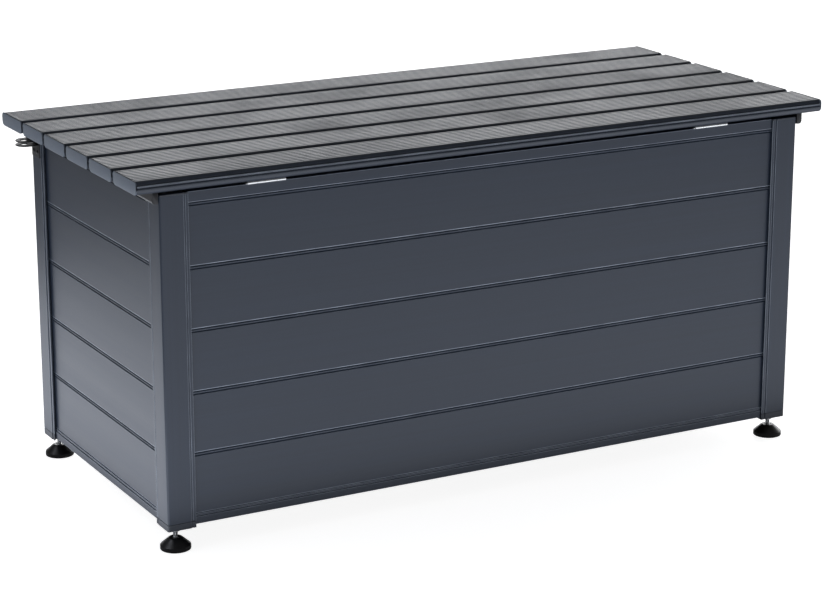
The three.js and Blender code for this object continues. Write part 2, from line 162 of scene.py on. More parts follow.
def rounded(corners: Sequence[Sequence[float]], steps: int = 4, support: float = 0.0004) -> np.ndarray:
    """A closed outline with each corner rounded by an arc that touches both of its edges.

    With h half the angle at a corner, the arc starts radius/tan(h) along each edge, and its centre is
    radius/sin(h) along the bisector. A point just outside each arc keeps the flats beside it flat.

    Args:
        corners: The corners (u, v, radius).
        steps: Straight pieces in each arc.
        support: Distance from each arc to the point that guards its flat.

    Returns:
        Points (u, v) in the order of the corners.
    """
    table = np.asarray(corners, float)
    points, radius = table[:, :2], table[:, 2]
    back = np.roll(points, 1, axis=0) - points
    ahead = np.roll(points, -1, axis=0) - points
    back_length = np.linalg.norm(back, axis=1)
    ahead_length = np.linalg.norm(ahead, axis=1)
    a = back / back_length[:, None]
    b = ahead / ahead_length[:, None]
    half = np.arccos(np.clip((a * b).sum(axis=1), -1, 1)) / 2
    reach = radius / np.tan(half)
    bisector = (a + b) / np.linalg.norm(a + b, axis=1)[:, None]
    centre = points + bisector * (radius / np.sin(half))[:, None]
    turn = (math.pi - 2 * half)[:, None]
    share = np.linspace(0, 1, steps + 1)[None, :]
    start = (points + a * reach[:, None] - centre)[:, None, :]
    end = (points + b * reach[:, None] - centre)[:, None, :]
    fall = (np.sin((1 - share) * turn) / np.sin(turn))[..., None]
    rise = (np.sin(share * turn) / np.sin(turn))[..., None]
    arcs = centre[:, None, :] + fall * start + rise * end
    guard = np.where(radius > 0, support, 0)
    free_back = np.minimum(guard, (back_length - reach - np.roll(reach, 1)) / 3)
    free_ahead = np.minimum(guard, (ahead_length - reach - np.roll(reach, -1)) / 3)
    before = points + a * (reach + free_back)[:, None]
    after = points + b * (reach + free_ahead)[:, None]
    outline = np.concatenate([before[:, None], arcs, after[:, None]], axis=1).reshape(-1, 2)
    apart = np.linalg.norm(outline - np.roll(outline, 1, axis=0), axis=1)
    return outline[apart > SAME_POINT]


def shrunk(outline: np.ndarray, distance: float) -> np.ndarray:
    """A counter-clockwise outline moved inwards.

    Each point moves by distance * (n1 + n2) / (1 + n1.n2), with n1 and n2 the inward normals of the
    edges before and after it.

    Args:
        outline: Points (u, v).
        distance: How far each edge moves.

    Returns:
        The moved points.
    """
    edge = np.roll(outline, -1, axis=0) - outline
    edge = edge / np.linalg.norm(edge, axis=1)[:, None]
    normal = np.stack([-edge[:, 1], edge[:, 0]], axis=1)
    before = np.roll(normal, 1, axis=0)
    share = (1 + (normal * before).sum(axis=1))[:, None]
    return outline + distance * (normal + before) / share


def extruded(outline: np.ndarray, start: float, end: float, axes: Axes, edge: float = 0.0) -> Shell:
    """An outline carried straight along w, its two end edges rounded to a quarter circle.

    At angle t of the quarter circle the outline is shrunk by edge*(1 - sin t) and stands
    edge*(1 - cos t) in from the end.

    Args:
        outline: Counter-clockwise points (u, v).
        start: First place along w.
        end: Last place along w.
        axes: Where the shape's u, v and w lie.
        edge: Radius of the end edges, 0 for a square cut.

    Returns:
        The closed shell.
    """
    if edge == 0:
        stations = [(start, 0.0), (end, 0.0)]
    else:
        turns = np.linspace(0, math.pi / 2, 4)
        lower = [(start + edge * (1 - math.sin(t)), edge * (1 - math.cos(t))) for t in turns[::-1]]
        upper = [(end - edge * (1 - math.sin(t)), edge * (1 - math.cos(t))) for t in turns]
        stations = [*lower, (start + 2 * edge, 0.0), (end - 2 * edge, 0.0), *upper]
    rings = [axes.carry(*shrunk(outline, inset).T, place) for place, inset in stations]
    return loft(np.stack(rings))


def bearings(around: int) -> np.ndarray:
    """Even angles round one turn."""
    return np.arange(around) * 2 * math.pi / around


def hexagon(angle: np.ndarray, flats: float) -> np.ndarray:
    """Radius of a hexagon: (flats/2)/cos(t'), with t' the angle from the middle of the nearest side."""
    from_side = np.mod(angle + math.pi / 6, math.pi / 3) - math.pi / 6
    return flats / 2 / np.cos(from_side)


def turned(
    profile: Sequence[Sequence[float]],
    axes: Axes,
    around: int = 48,
    flats: float = math.inf,
) -> Shell:
    """A profile turned about w, optionally cut to a hexagon.

    At each angle the surface stands at the lesser of the profile's radius and the hexagon's.

    Args:
        profile: Corners (radius, place along w, rounding), from one end to the other, without the axis.
        axes: Where the shape's u, v and w lie.
        around: Points round a ring.
        flats: Width across the flats of a hexagonal piece.

    Returns:
        The closed shell.
    """
    table = np.asarray(profile, float)
    closed = [[0, table[0, 1], 0], *table.tolist(), [0, table[-1, 1], 0]]
    line = rounded(closed, steps=4)
    line = line[line[:, 0] > SAME_POINT]
    angle = bearings(around)
    radius = np.minimum(line[:, :1], hexagon(angle, flats)[None, :])
    return loft(axes.carry(radius * np.cos(angle), radius * np.sin(angle), line[:, 1:]))


def pierced(
    outline: np.ndarray,
    hole: Sequence[float],
    start: float,
    end: float,
    axes: Axes,
    edge: float,
) -> Shell:
    """A convex plate with a round hole, all four of its edges eased.

    Rays leave the hole's centre at even angles and through the outline's own points. Each ray gives one
    point on the hole and one on the outline, so the plate is a ring of eight points carried round it.

    Args:
        outline: Counter-clockwise points (u, v) of a convex outline.
        hole: The hole's centre and radius (u, v, radius).
        start: Underside along w.
        end: Upper side along w.
        axes: Where the shape's u, v and w lie.
        edge: Width of the eased edges.

    Returns:
        The closed shell.
    """
    centre, radius = np.asarray(hole[:2]), hole[2]
    spoke = outline - centre
    rays, digits = 48, 5  # angles that agree to so many digits are one ray
    even = np.linspace(-math.pi, math.pi, rays, endpoint=False)
    angle = np.unique(np.round(np.concatenate([even, np.arctan2(spoke[:, 1], spoke[:, 0])]), digits))
    ray = np.stack([np.cos(angle), np.sin(angle)], axis=1)
    side = np.roll(spoke, -1, axis=0) - spoke
    outward = np.stack([side[:, 1], -side[:, 0]], axis=1)
    with np.errstate(divide="ignore"):
        reach = (outward * spoke).sum(axis=1)[None, :] / (ray @ outward.T)
    rim = np.where(reach > 0, reach, np.inf).min(axis=1)
    loop = [
        (rim - edge, start), (rim, start + edge), (rim, end - edge), (rim - edge, end),
        (radius + edge, end), (radius, end - edge), (radius, start + edge), (radius + edge, start),
    ]
    rings = [axes.carry(centre[0] + r * ray[:, 0], centre[1] + r * ray[:, 1], w) for r, w in loop]
    return loft(np.stack(rings), Ends.JOINED)


def threaded(radius: float, start: float, end: float, axes: Axes, pitch: float = 0.00125) -> Shell:
    """A threaded bar about w with eased ends.

    The radius falls from its full value to the thread's root as a triangle wave of
    (w / pitch - angle / one turn), and fades to the root within half a pitch of each end.

    Args:
        radius: Radius over the thread.
        start: Lower end along w.
        end: Upper end along w.
        axes: Where the bar's u, v and w lie.
        pitch: Rise of the thread in one turn.

    Returns:
        The closed shell.
    """
    around, per_turn = 28, 6
    depth = 0.6 * pitch  # as a metric thread has
    rise = np.linspace(start, end, int((end - start) / pitch * per_turn))[:, None]
    angle = bearings(around)[None, :]
    phase = np.mod(rise / pitch - angle / (2 * math.pi), 1)
    wave = np.abs(2 * phase - 1)
    fade = np.clip(np.minimum(rise - start, end - rise) / (0.5 * pitch), 0, 1)
    bar = radius - depth * (1 - wave * fade)
    return loft(axes.carry(bar * np.cos(angle), bar * np.sin(angle), rise))


def level(x: float, y: float, z: float = 0.0) -> Axes:
    """Axes at a point, with w straight up."""
    return Axes(np.array([x, y, z]), X, Y, Z)


def box_of(node: str) -> tuple[np.ndarray, np.ndarray]:
    """The lowest and highest corner of a CAD node."""
    low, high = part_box(node)
    return np.array(low), np.array(high)


def rectangle(u0: float, v0: float, u1: float, v1: float, radius: float) -> np.ndarray:
    """A rectangle with four equal rounded corners."""
    return rounded([[u0, v0, radius], [u1, v0, radius], [u1, v1, radius], [u0, v1, radius]])


# ---- Finishes ----


Colour = tuple[float, float, float]


class Run(Enum):
    """The way a profile was drawn, as the stretch of its streaks (fine across, slow along)."""

    ALONG_X = (1.2, 260.0, 260.0)
    ALONG_Y = (260.0, 1.2, 260.0)
    ALONG_Z = (260.0, 260.0, 1.2)


class Wiring:
    """Adds nodes to one node tree and joins them."""

    def __init__(self, tree: bpy.types.NodeTree) -> None:
        """Starts on a tree."""
        self.tree = tree

    def fill(self, node: bpy.types.Node, sockets: dict[str | int, object]) -> bpy.types.Node:
        """Feeds a node's inputs.

        Args:
            node: The node.
            sockets: For each input, the socket that feeds it or its own value.

        Returns:
            The node.
        """
        for key, value in sockets.items():
            if isinstance(value, bpy.types.NodeSocket):
                self.tree.links.new(value, node.inputs[key])
            else:
                node.inputs[key].default_value = value
        return node

    def add(
        self,
        kind: str,
        sockets: dict[str | int, object] | None = None,
        **settings: object,
    ) -> bpy.types.Node:
        """Adds one node.

        Args:
            kind: Blender's name for the node's type.
            sockets: For each input, the socket that feeds it or its own value.
            settings: Values for the node's properties.

        Returns:
            The node.
        """
        node = self.tree.nodes.new(kind)
        for name, value in settings.items():
            setattr(node, name, value)
        return self.fill(node, sockets or {})

    def group(self, tree: bpy.types.NodeTree, sockets: dict[str | int, object]) -> bpy.types.Node:
        """A shared effect placed in this tree."""
        return self.fill(self.add("ShaderNodeGroup", node_tree=tree), sockets)

    def place(self) -> bpy.types.NodeSocket:
        """Object coordinates, in metres."""
        return self.add("ShaderNodeTexCoord").outputs["Object"]

    def math(self, operation: str, first: object, second: object = 0.0) -> bpy.types.NodeSocket:
        """One sum on two values."""
        return self.add("ShaderNodeMath", {0: first, 1: second}, operation=operation).outputs[0]

    def times(self, value: object, factor: object) -> bpy.types.NodeSocket:
        """A value times a factor."""
        return self.math("MULTIPLY", value, factor)

    def blend(self, first: object, second: object, share: float) -> bpy.types.NodeSocket:
        """The first value by its share and the second by the rest."""
        return self.math("ADD", self.times(first, share), self.times(second, 1 - share))

    def span(
        self,
        value: bpy.types.NodeSocket,
        source: tuple[float, float],
        target: tuple[float, float] = (0, 1),
    ) -> bpy.types.NodeSocket:
        """A value carried from one range to another, held at its ends."""
        sockets = {"Value": value, "From Min": source[0], "From Max": source[1],
                   "To Min": target[0], "To Max": target[1]}
        return self.add("ShaderNodeMapRange", sockets).outputs["Result"]

    def mix(self, share: bpy.types.NodeSocket, first: object, second: object) -> bpy.types.NodeSocket:
        """Two colours mixed by a share from 0 to 1."""
        a, b = (c if isinstance(c, bpy.types.NodeSocket) else (*c, 1.0) for c in (first, second))
        return self.add("ShaderNodeMix", {0: share, 6: a, 7: b}, data_type="RGBA").outputs[2]

    def noise(self, place: bpy.types.NodeSocket, scale: object, detail: float = 2.0) -> bpy.types.NodeSocket:
        """Smooth noise from 0 to 1."""
        sockets = {"Vector": place, "Scale": scale, "Detail": detail}
        return self.add("ShaderNodeTexNoise", sockets).outputs["Fac"]

    def bump(self, height: bpy.types.NodeSocket, depth: float) -> bpy.types.NodeSocket:
        """A normal that follows a height from 0 to 1, carried to a depth in metres."""
        return self.add("ShaderNodeBump", {"Height": height, "Distance": depth}).outputs[0]


class Effect:
    """A shared shader node group with named inputs and outputs."""

    def __init__(self, name: str, inputs: dict[str, str], outputs: Sequence[str]) -> None:
        """Makes the group's sockets.

        Args:
            name: Name of the group.
            inputs: For each input, its socket type.
            outputs: Names of the outputs, all of them values.
        """
        self.tree = bpy.data.node_groups.new(name, "ShaderNodeTree")
        for label, kind in inputs.items():
            self.tree.interface.new_socket(label, in_out="INPUT", socket_type=kind)
        for label in outputs:
            self.tree.interface.new_socket(label, in_out="OUTPUT", socket_type="NodeSocketFloat")
        self.wire = Wiring(self.tree)
        self.given = self.wire.add("NodeGroupInput").outputs
        self.result = self.wire.add("NodeGroupOutput")

    def put_out(self, **values: bpy.types.NodeSocket) -> bpy.types.NodeTree:
        """Joins the outputs and gives the finished group."""
        self.wire.fill(self.result, values)
        return self.tree


def grain_effect() -> bpy.types.NodeTree:
    """Fine grain over a wider orange peel: outputs Height for bump and Speck for tone.

    Returns:
        The node group.
    """
    peel_width, fine_share = 7.0, 0.6
    inputs = {"Place": "NodeSocketVector", "Size": "NodeSocketFloat"}
    effect = Effect("surface_grain", inputs, ["Height", "Speck"])
    wire, place = effect.wire, effect.given["Place"]
    fine_scale = wire.math("DIVIDE", 1.0, effect.given["Size"])
    fine = wire.noise(place, fine_scale, detail=3.0)
    peel = wire.noise(place, wire.math("DIVIDE", fine_scale, peel_width), detail=1.0)
    height = wire.blend(fine, peel, fine_share)
    return effect.put_out(Height=height, Speck=wire.span(fine, (0.42, 0.66)))


def streak_effect() -> bpy.types.NodeTree:
    """Long streaks left by drawing the metal: output Streak, about 0.5 and slow along the profile.

    Returns:
        The node group.
    """
    broad_scale, fine_share = 0.14, 0.45
    inputs = {"Place": "NodeSocketVector", "Stretch": "NodeSocketVector"}
    effect = Effect("drawn_streaks", inputs, ["Streak"])
    wire, given = effect.wire, effect.given
    sockets = {"Vector": given["Place"], "Scale": given["Stretch"]}
    stretched = wire.add("ShaderNodeMapping", sockets).outputs[0]
    fine = wire.noise(stretched, 1.0, detail=3.0)
    broad = wire.noise(stretched, broad_scale)
    return effect.put_out(Streak=wire.blend(fine, broad, fine_share))


def dust_effect() -> bpy.types.NodeTree:
    """Dust that settles in patches and flecks on faces that look up: output Mask.

    Returns:
        The node group.
    """
    patch_scale, fleck_scale, most = 9.0, 900.0, (0, 0.5)  # noise per metre, and the range of each mask
    effect = Effect("settled_dust", {"Place": "NodeSocketVector"}, ["Mask"])
    wire, place = effect.wire, effect.given["Place"]
    normal = wire.add("ShaderNodeNewGeometry").outputs["Normal"]
    up = wire.add("ShaderNodeSeparateXYZ", {0: normal}).outputs["Z"]
    facing = wire.span(up, (0.2, 0.9))
    patch = wire.span(wire.noise(place, patch_scale, detail=6.0), (0.45, 0.7), most)
    fleck = wire.span(wire.noise(place, fleck_scale), (0.62, 0.7), most)
    return effect.put_out(Mask=wire.times(wire.math("ADD", patch, fleck), facing))


def edge_highlight_effect() -> bpy.types.NodeTree:
    """Painted highlight on rounded outer edges, in patches: output Mask, from the mesh's own edge attribute.

    Returns:
        The node group.
    """
    patch_scale, least = 26.0, 0.45
    effect = Effect("edge_wear", {"Place": "NodeSocketVector"}, ["Mask"])
    wire = effect.wire
    standing = wire.add("ShaderNodeAttribute", attribute_name=EDGE_ATTRIBUTE).outputs["Fac"]
    noise = wire.noise(effect.given["Place"], patch_scale, detail=3.0)
    patch = wire.span(noise, (0.3, 0.6), (least, 1))
    return effect.put_out(Mask=wire.times(wire.span(standing, (0.1, 0.8)), patch))


# Per-vertex share of a rounded edge: it sets where the painted edge highlight falls.
EDGE_ATTRIBUTE = "edge"
MAX_FACET = math.radians(35)  # a larger turn is a corner of the piece's end
LARGEST_ROUND = 0.0025  # a rounding with a larger radius gets no painted edge highlight
SHORTEST_EDGE = 0.005  # a shorter edge belongs to a small end rounding
FULL_ROUND = math.radians(20)  # a vertex whose edges turn by this much gets the full painted edge highlight


@dataclass(frozen=True)
class Effects:
    """The shared effects that the finishes use."""

    grain: bpy.types.NodeTree
    streaks: bpy.types.NodeTree
    dust: bpy.types.NodeTree
    edges: bpy.types.NodeTree


DUST_COLOUR: Colour = (0.42, 0.40, 0.37)


def finish_shader(name: str, metallic: float = 0.0) -> tuple[bpy.types.Material, Wiring, bpy.types.Node]:
    """An empty finish.

    Args:
        name: Name of the material.
        metallic: 1 for bare metal.

    Returns:
        The material, its wiring and its Principled shader.
    """
    made = bpy.data.materials.new(name)
    made.use_nodes = True
    shader = made.node_tree.nodes["Principled BSDF"]
    shader.inputs["Metallic"].default_value = metallic
    return made, Wiring(made.node_tree), shader


@dataclass(frozen=True)
class CoatMarks:
    """What every coat and moulding shows: grain, dust and a painted highlight on rounded edges at a place."""

    place: bpy.types.NodeSocket
    height: bpy.types.NodeSocket
    speck: bpy.types.NodeSocket
    dust: bpy.types.NodeSocket
    edge: bpy.types.NodeSocket


def coat_marks(wire: Wiring, effects: Effects, grain_size: float) -> CoatMarks:
    """Places the grain, the dust and the painted edge highlight in a material.

    Args:
        wire: The material's wiring.
        effects: The shared effects.
        grain_size: Width of a grain.

    Returns:
        Their sockets.
    """
    place = wire.place()
    grain = wire.group(effects.grain, {"Place": place, "Size": grain_size}).outputs
    masks = (wire.group(tree, {"Place": place}).outputs["Mask"] for tree in (effects.dust, effects.edges))
    return CoatMarks(place, grain["Height"], grain["Speck"], *masks)


@dataclass(frozen=True)
class PowderCoat:
    """Satin powder coat on drawn aluminium or steel."""

    name: str
    colour: Colour
    roughness: float = 0.42
    roughness_swing: float = 0.03
    grain_size: float = 0.0006
    grain_depth: float = 0.00003
    streak_share: float = 0.10
    speck_gain: float = 1.9  # a speck's colour over the coat's
    speck_share: float = 0.12
    dust_share: float = 0.05
    dust_roughness: float = 0.2
    # Painted highlight: rounded edges are lightened towards this colour, standing in for the light they
    # catch.
    edge_highlight_colour: Colour = (0.32, 0.36, 0.42)

    def material(self, effects: Effects, run: Run) -> bpy.types.Material:
        """The finish for a profile drawn one way.

        Args:
            effects: The shared effects.
            run: The way the profile was drawn.

        Returns:
            The material.
        """
        made, wire, shader = finish_shader(f"{self.name}_{run.name.lower()}")
        marks = coat_marks(wire, effects, self.grain_size)
        streak = wire.group(effects.streaks, {"Place": marks.place, "Stretch": run.value}).outputs["Streak"]
        gains = (1 - self.streak_share, 1 + self.streak_share, self.speck_gain)
        dark, light, speck = (tuple(value * gain for value in self.colour) for gain in gains)
        drawn = wire.mix(wire.span(streak, (0.35, 0.65)), dark, light)
        specked = wire.mix(wire.times(marks.speck, self.speck_share), drawn, speck)
        # Painted highlight on rounded edges, in patches.
        highlighted = wire.mix(marks.edge, specked, self.edge_highlight_colour)
        smooth, rough = self.roughness - self.roughness_swing, self.roughness + self.roughness_swing
        satin = wire.span(streak, (0.3, 0.7), (smooth, rough))
        wire.fill(shader, {
            "Base Color": wire.mix(wire.times(marks.dust, self.dust_share), highlighted, DUST_COLOUR),
            "Roughness": wire.math("ADD", satin, wire.times(marks.dust, self.dust_roughness)),
            "Normal": wire.bump(marks.height, self.grain_depth),
        })
        return made


@dataclass(frozen=True)
class Metal:
    """Bare metal with fine marks along one way and a faint cloudiness."""

    name: str
    colour: Colour
    roughness: float
    mark_depth: float
    tarnish: float = 0.12
    tarnish_darkens: float = 2.2
    fineness: float = 8.0  # marks across, over a drawn profile's streaks
    cloud_scale: float = 140.0
    cloud_share: float = 0.2

    def material(self, effects: Effects, run: Run) -> bpy.types.Material:
        """The finish with its marks along one way.

        Args:
            effects: The shared effects.
            run: The way the marks run.

        Returns:
            The material.
        """
        made, wire, shader = finish_shader(f"{self.name}_{run.name.lower()}", metallic=1.0)
        place = wire.place()
        fine = tuple(value * self.fineness for value in run.value)
        marks = wire.group(effects.streaks, {"Place": place, "Stretch": fine}).outputs["Streak"]
        cloud = wire.span(wire.noise(place, self.cloud_scale, detail=4.0), (0.4, 0.7), (0, 0.7))
        dull = tuple(value * (1 - self.tarnish_darkens * self.tarnish) for value in self.colour)
        wear = wire.math("ADD", marks, wire.times(cloud, self.cloud_share))
        wire.fill(shader, {
            "Base Color": wire.mix(cloud, self.colour, dull),
            "Roughness": wire.span(wear, (0.3, 0.9), (self.roughness * 0.8, self.roughness * 1.4)),
            "Normal": wire.bump(marks, self.mark_depth),
        })
        return made


@dataclass(frozen=True)
class Moulded:
    """Moulded plastic or pressed sheet with a grained surface, a little dust and a painted highlight on
    rounded edges.
    """

    name: str
    colour: Colour
    roughness: float
    grain_size: float
    grain_depth: float
    speck_colour: Colour
    speck_share: float = 0.15
    # Share of the painted highlight on rounded edges.
    edge_highlight_share: float = 0.1
    dust_share: float = 0.08
    # Colour of the painted highlight on rounded edges.
    edge_highlight_colour: Colour = (0.42, 0.45, 0.50)

    def material(self, effects: Effects) -> bpy.types.Material:
        """The finish.

        Args:
            effects: The shared effects.

        Returns:
            The material.
        """
        made, wire, shader = finish_shader(self.name)
        marks = coat_marks(wire, effects, self.grain_size)
        specked = wire.mix(wire.times(marks.speck, self.speck_share), self.colour, self.speck_colour)
        # Painted highlight on rounded edges.
        highlighted = wire.mix(wire.times(marks.edge, self.edge_highlight_share), specked, self.edge_highlight_colour)
        wire.fill(shader, {
            "Base Color": wire.mix(wire.times(marks.dust, self.dust_share), highlighted, DUST_COLOUR),
            "Roughness": wire.span(marks.height, (0.3, 0.7), (self.roughness - 0.05, self.roughness + 0.07)),
            "Normal": wire.bump(marks.height, self.grain_depth),
        })
        return made


class Palette:
    """Every finish on the box, made once."""

    def __init__(self) -> None:
        """Makes the shared effects and the finishes."""
        effects = Effects(grain_effect(), streak_effect(), dust_effect(), edge_highlight_effect())
        anthracite = PowderCoat("anthracite_coat", (0.021, 0.030, 0.048))
        slat = PowderCoat("slat_coat", (0.022, 0.029, 0.043), roughness=0.40)
        # The black coat's edge colour paints a faint highlight on its rounded edges.
        black = PowderCoat(
            "black_coat", (0.005, 0.005, 0.006), roughness=0.45,
            dust_share=0.02, edge_highlight_colour=(0.05, 0.05, 0.055),
        )
        moulding = Moulded(
            "anthracite_moulding", (0.028, 0.034, 0.046), roughness=0.42,
            grain_size=0.0005, grain_depth=0.00002, speck_colour=(0.06, 0.07, 0.09),
        )
        # Painted light: the end caps' lighter colour stands in for light falling on their outer faces, and
        # the high edge share paints a bright highlight round their edges.
        slat_end = Moulded(
            "slat_end_moulding", (0.165, 0.195, 0.240), roughness=0.40,
            grain_size=0.0005, grain_depth=0.00002, speck_colour=(0.24, 0.27, 0.32), edge_highlight_share=0.8,
        )
        plastic = Moulded(
            "black_moulding", (0.006, 0.006, 0.007), roughness=0.33,
            grain_size=0.0007, grain_depth=0.00003, speck_colour=(0.03, 0.03, 0.032),
        )
        sheet = Moulded(
            "floor_sheet", (0.020, 0.021, 0.023), roughness=0.55,
            grain_size=0.0016, grain_depth=0.00005, speck_colour=(0.06, 0.062, 0.066), speck_share=0.35,
        )
        brushed = Metal("brushed_steel", (0.80, 0.80, 0.79), roughness=0.28, mark_depth=0.000006)
        zinc = Metal("bright_zinc", (0.83, 0.84, 0.85), roughness=0.22, mark_depth=0.000004)
        chrome = Metal("hard_chrome", (0.78, 0.79, 0.80), roughness=0.08, mark_depth=0.000001, tarnish=0.03)
        self.casing = {run: anthracite.material(effects, run) for run in Run}
        self.slat = slat.material(effects, Run.ALONG_X)
        self.black = black.material(effects, Run.ALONG_Y)
        self.moulding = moulding.material(effects)
        self.slat_end = slat_end.material(effects)
        self.plastic = plastic.material(effects)
        self.sheet = sheet.material(effects)
        self.brushed = brushed.material(effects, Run.ALONG_X)
        self.zinc = zinc.material(effects, Run.ALONG_Z)
        self.chrome = chrome.material(effects, Run.ALONG_Z)


# ---- Pieces ----


def rows_of(items: bpy.types.bpy_prop_collection, name: str, width: int, kind: type = float) -> np.ndarray:
    """One property of every item.

    Args:
        items: Vertices, edges, loops or polygons of a mesh.
        name: The property.
        width: Values in each item's property.
        kind: Type of a value.

    Returns:
        A row for each item.
    """
    values = np.empty(len(items) * width, kind)
    items.foreach_get(name, values)
    return values.reshape(-1, width)


def standing_out(mesh: bpy.types.Mesh) -> np.ndarray:
    """How far each vertex lies on a rounded outer edge.

    An edge counts if it is long and its two faces turn away from each other by a small angle over a short
    distance, as the facets of a small rounding do. A vertex has the sum of the angles of its edges, over
    FULL_ROUND and held at 1.

    Args:
        mesh: The mesh, closed, so that every edge has two faces.

    Returns:
        One value from 0 (flat or hollow) to 1 for each vertex.
    """
    points, ends = rows_of(mesh.vertices, "co", 3), rows_of(mesh.edges, "vertices", 2, int)
    normals, middles = rows_of(mesh.polygons, "normal", 3), rows_of(mesh.polygons, "center", 3)
    face_of = np.repeat(np.arange(len(mesh.polygons)), rows_of(mesh.polygons, "loop_total", 1, int)[:, 0])
    order = np.argsort(rows_of(mesh.loops, "edge_index", 1, int)[:, 0], kind="stable")
    first, second = face_of[order].reshape(-1, 2).T
    angle = np.arccos(np.einsum("ij,ij->i", normals[first], normals[second]).clip(-1, 1))
    across = middles[second] - middles[first]
    convex = np.einsum("ij,ij->i", across, normals[first]) < 0
    tight = np.linalg.norm(across, axis=1) < angle * LARGEST_ROUND
    length = np.linalg.norm(points[ends[:, 0]] - points[ends[:, 1]], axis=1)
    rolled = np.where(convex & tight & (angle < MAX_FACET) & (length > SHORTEST_EDGE), angle, 0)
    total = sum(np.bincount(ends[:, side], rolled, len(points)) for side in (0, 1))
    return (total / FULL_ROUND).clip(0, 1)


def make_piece(
    name: str,
    shells: Sequence[Shell],
    finish: bpy.types.Material,
    body: str,
    stands_for: Sequence[str] = (),
) -> bpy.types.Object:
    """Puts shells into one mesh object, dresses it and ties it to its body.

    Args:
        name: The piece's name.
        shells: Its closed surfaces.
        finish: Its material.
        body: The CAD body it moves with.
        stands_for: The CAD nodes it replaces.

    Returns:
        The object.
    """
    points: list[np.ndarray] = []
    faces: list[list[int]] = []
    count = 0
    for shell in shells:
        points.append(shell.points)
        faces += (shell.quads + count).tolist() + [(cap + count).tolist() for cap in shell.caps]
        count += len(shell.points)
    mesh = bpy.data.meshes.new(name)
    mesh.from_pydata(np.concatenate(points).tolist(), [], faces)
    mesh.polygons.foreach_set("use_smooth", np.ones(len(mesh.polygons), bool))
    mesh.set_sharp_from_angle(angle=SMOOTH_BELOW)
    mesh.materials.append(finish)
    # The edge attribute sets where the painted edge highlight falls.
    mesh.attributes.new(EDGE_ATTRIBUTE, "FLOAT", "POINT").data.foreach_set("value", standing_out(mesh))
    made = bpy.data.objects.new(name, mesh)
    bpy.context.scene.collection.objects.link(made)
    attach(made, body)
    if stands_for:
        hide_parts(*stands_for)
    log.info("%s: %d faces on %s", name, len(mesh.polygons), body)
    return made


def wall_axes(side: str, low: np.ndarray, high: np.ndarray) -> Axes:
    """Axes of a wall: u inwards from its outer face, v up from the floor, w along the wall.

    Args:
        side: Name of the wall.
        low: Lowest corner of a piece that lies in the wall.
        high: Its highest corner.

    Returns:
        The axes, with their origin under the middle of that piece's outer face.
    """
    outward, along = SIDES[side]
    face = np.where(outward > 0, high, low) * np.abs(outward)
    return Axes(face, -outward, Z, along)


def screw(axes: Axes, radius: float = 0.0035, height: float = 0.0014) -> list[Shell]:
    """A pan head screw with a hexagon drive on top.

    Args:
        axes: Its place, with the seat at w = 0 and the head towards +w.
        radius: Radius of the head.
        height: Height of the head.

    Returns:
        The head and the drive.
    """
    head = [(radius, 0, 0), (radius, 0.4 * height, 0.0002), (0.55 * radius, height, 0.0004)]
    drive = [(0.5 * radius, 0.5 * height, 0), (0.5 * radius, 1.02 * height, 0.0001)]
    return [turned(head, axes, around=24), turned(drive, axes, around=24, flats=0.8 * radius)]


@dataclass
class CornerPosts:
    """Four slotted posts, with a moulded cap in the foot and the head of each."""

    tube: float = 0.042
    corner_radius: float = 0.003
    span: float = 0.048  # over the flanges
    groove: tuple[float, float, float] = (0.040, 0.043, 0.0016)  # shadow groove: from, to and depth
    lip_setback: float = 0.0008
    lip_thickness: float = 0.002
    channel: float = 0.0225  # inner side of the boards' channel
    inner_flange: float = 0.002
    edge: float = 0.0004
    foot_cap: float = 0.0105
    head_cap: float = 0.0025
    seam: float = 0.001

    def section(self) -> np.ndarray:
        """The section with its outer corner at the origin and a board channel along each leg.

        Returns:
            The outline, in the directions of the two walls.
        """
        start, end, depth = self.groove
        lip = self.lip_setback + self.lip_thickness
        inner = self.channel + self.inner_flange
        small = self.edge / 2
        leg = [
            (start, 0, self.edge), (start, depth, small), (end, depth, small),
            (end, self.lip_setback, self.edge), (self.span, self.lip_setback, self.edge),
            (self.span, lip, self.edge), (self.tube, lip, small), (self.tube, self.channel, small),
            (self.span, self.channel, self.edge), (self.span, inner, self.edge), (self.tube, inner, small),
        ]
        other = [(v, u, r) for u, v, r in reversed(leg)]
        return rounded([(0, 0, self.corner_radius), *leg, (self.tube, self.tube, 2 * self.edge), *other])

    def build(self, palette: Palette) -> None:
        """Makes each post and its two caps.

        Args:
            palette: The finishes.
        """
        for corner, (sx, sy) in CORNERS.items():
            low, high = box_of(f"{corner}_post")
            origin = np.array([high[0] if sx > 0 else low[0], high[1] if sy > 0 else low[1], 0])
            axes = Axes(origin, -sx * X, -sy * Y, Z)
            outline = self.section()
            neck = rectangle(self.seam, self.seam, self.groove[0], self.groove[0], self.corner_radius)
            shaft = (low[2] + self.foot_cap + self.seam, high[2] - self.head_cap - self.seam / 4)
            post = [extruded(outline, *shaft, axes)]
            foot = [extruded(outline, low[2], low[2] + self.foot_cap, axes, edge=self.edge),
                    extruded(neck, low[2] + self.foot_cap - self.seam, shaft[0] - self.seam / 10, axes)]
            head = [extruded(outline, high[2] - self.head_cap, high[2], axes, edge=self.edge)]
            finish = palette.casing[Run.ALONG_Z]
            make_piece(f"{corner}_post_shaft", post, finish, "casing", [f"{corner}_post"])
            for place, cap in (("foot", foot), ("head", head)):
                make_piece(f"{corner}_post_{place}_cap", cap, palette.moulding, "casing")


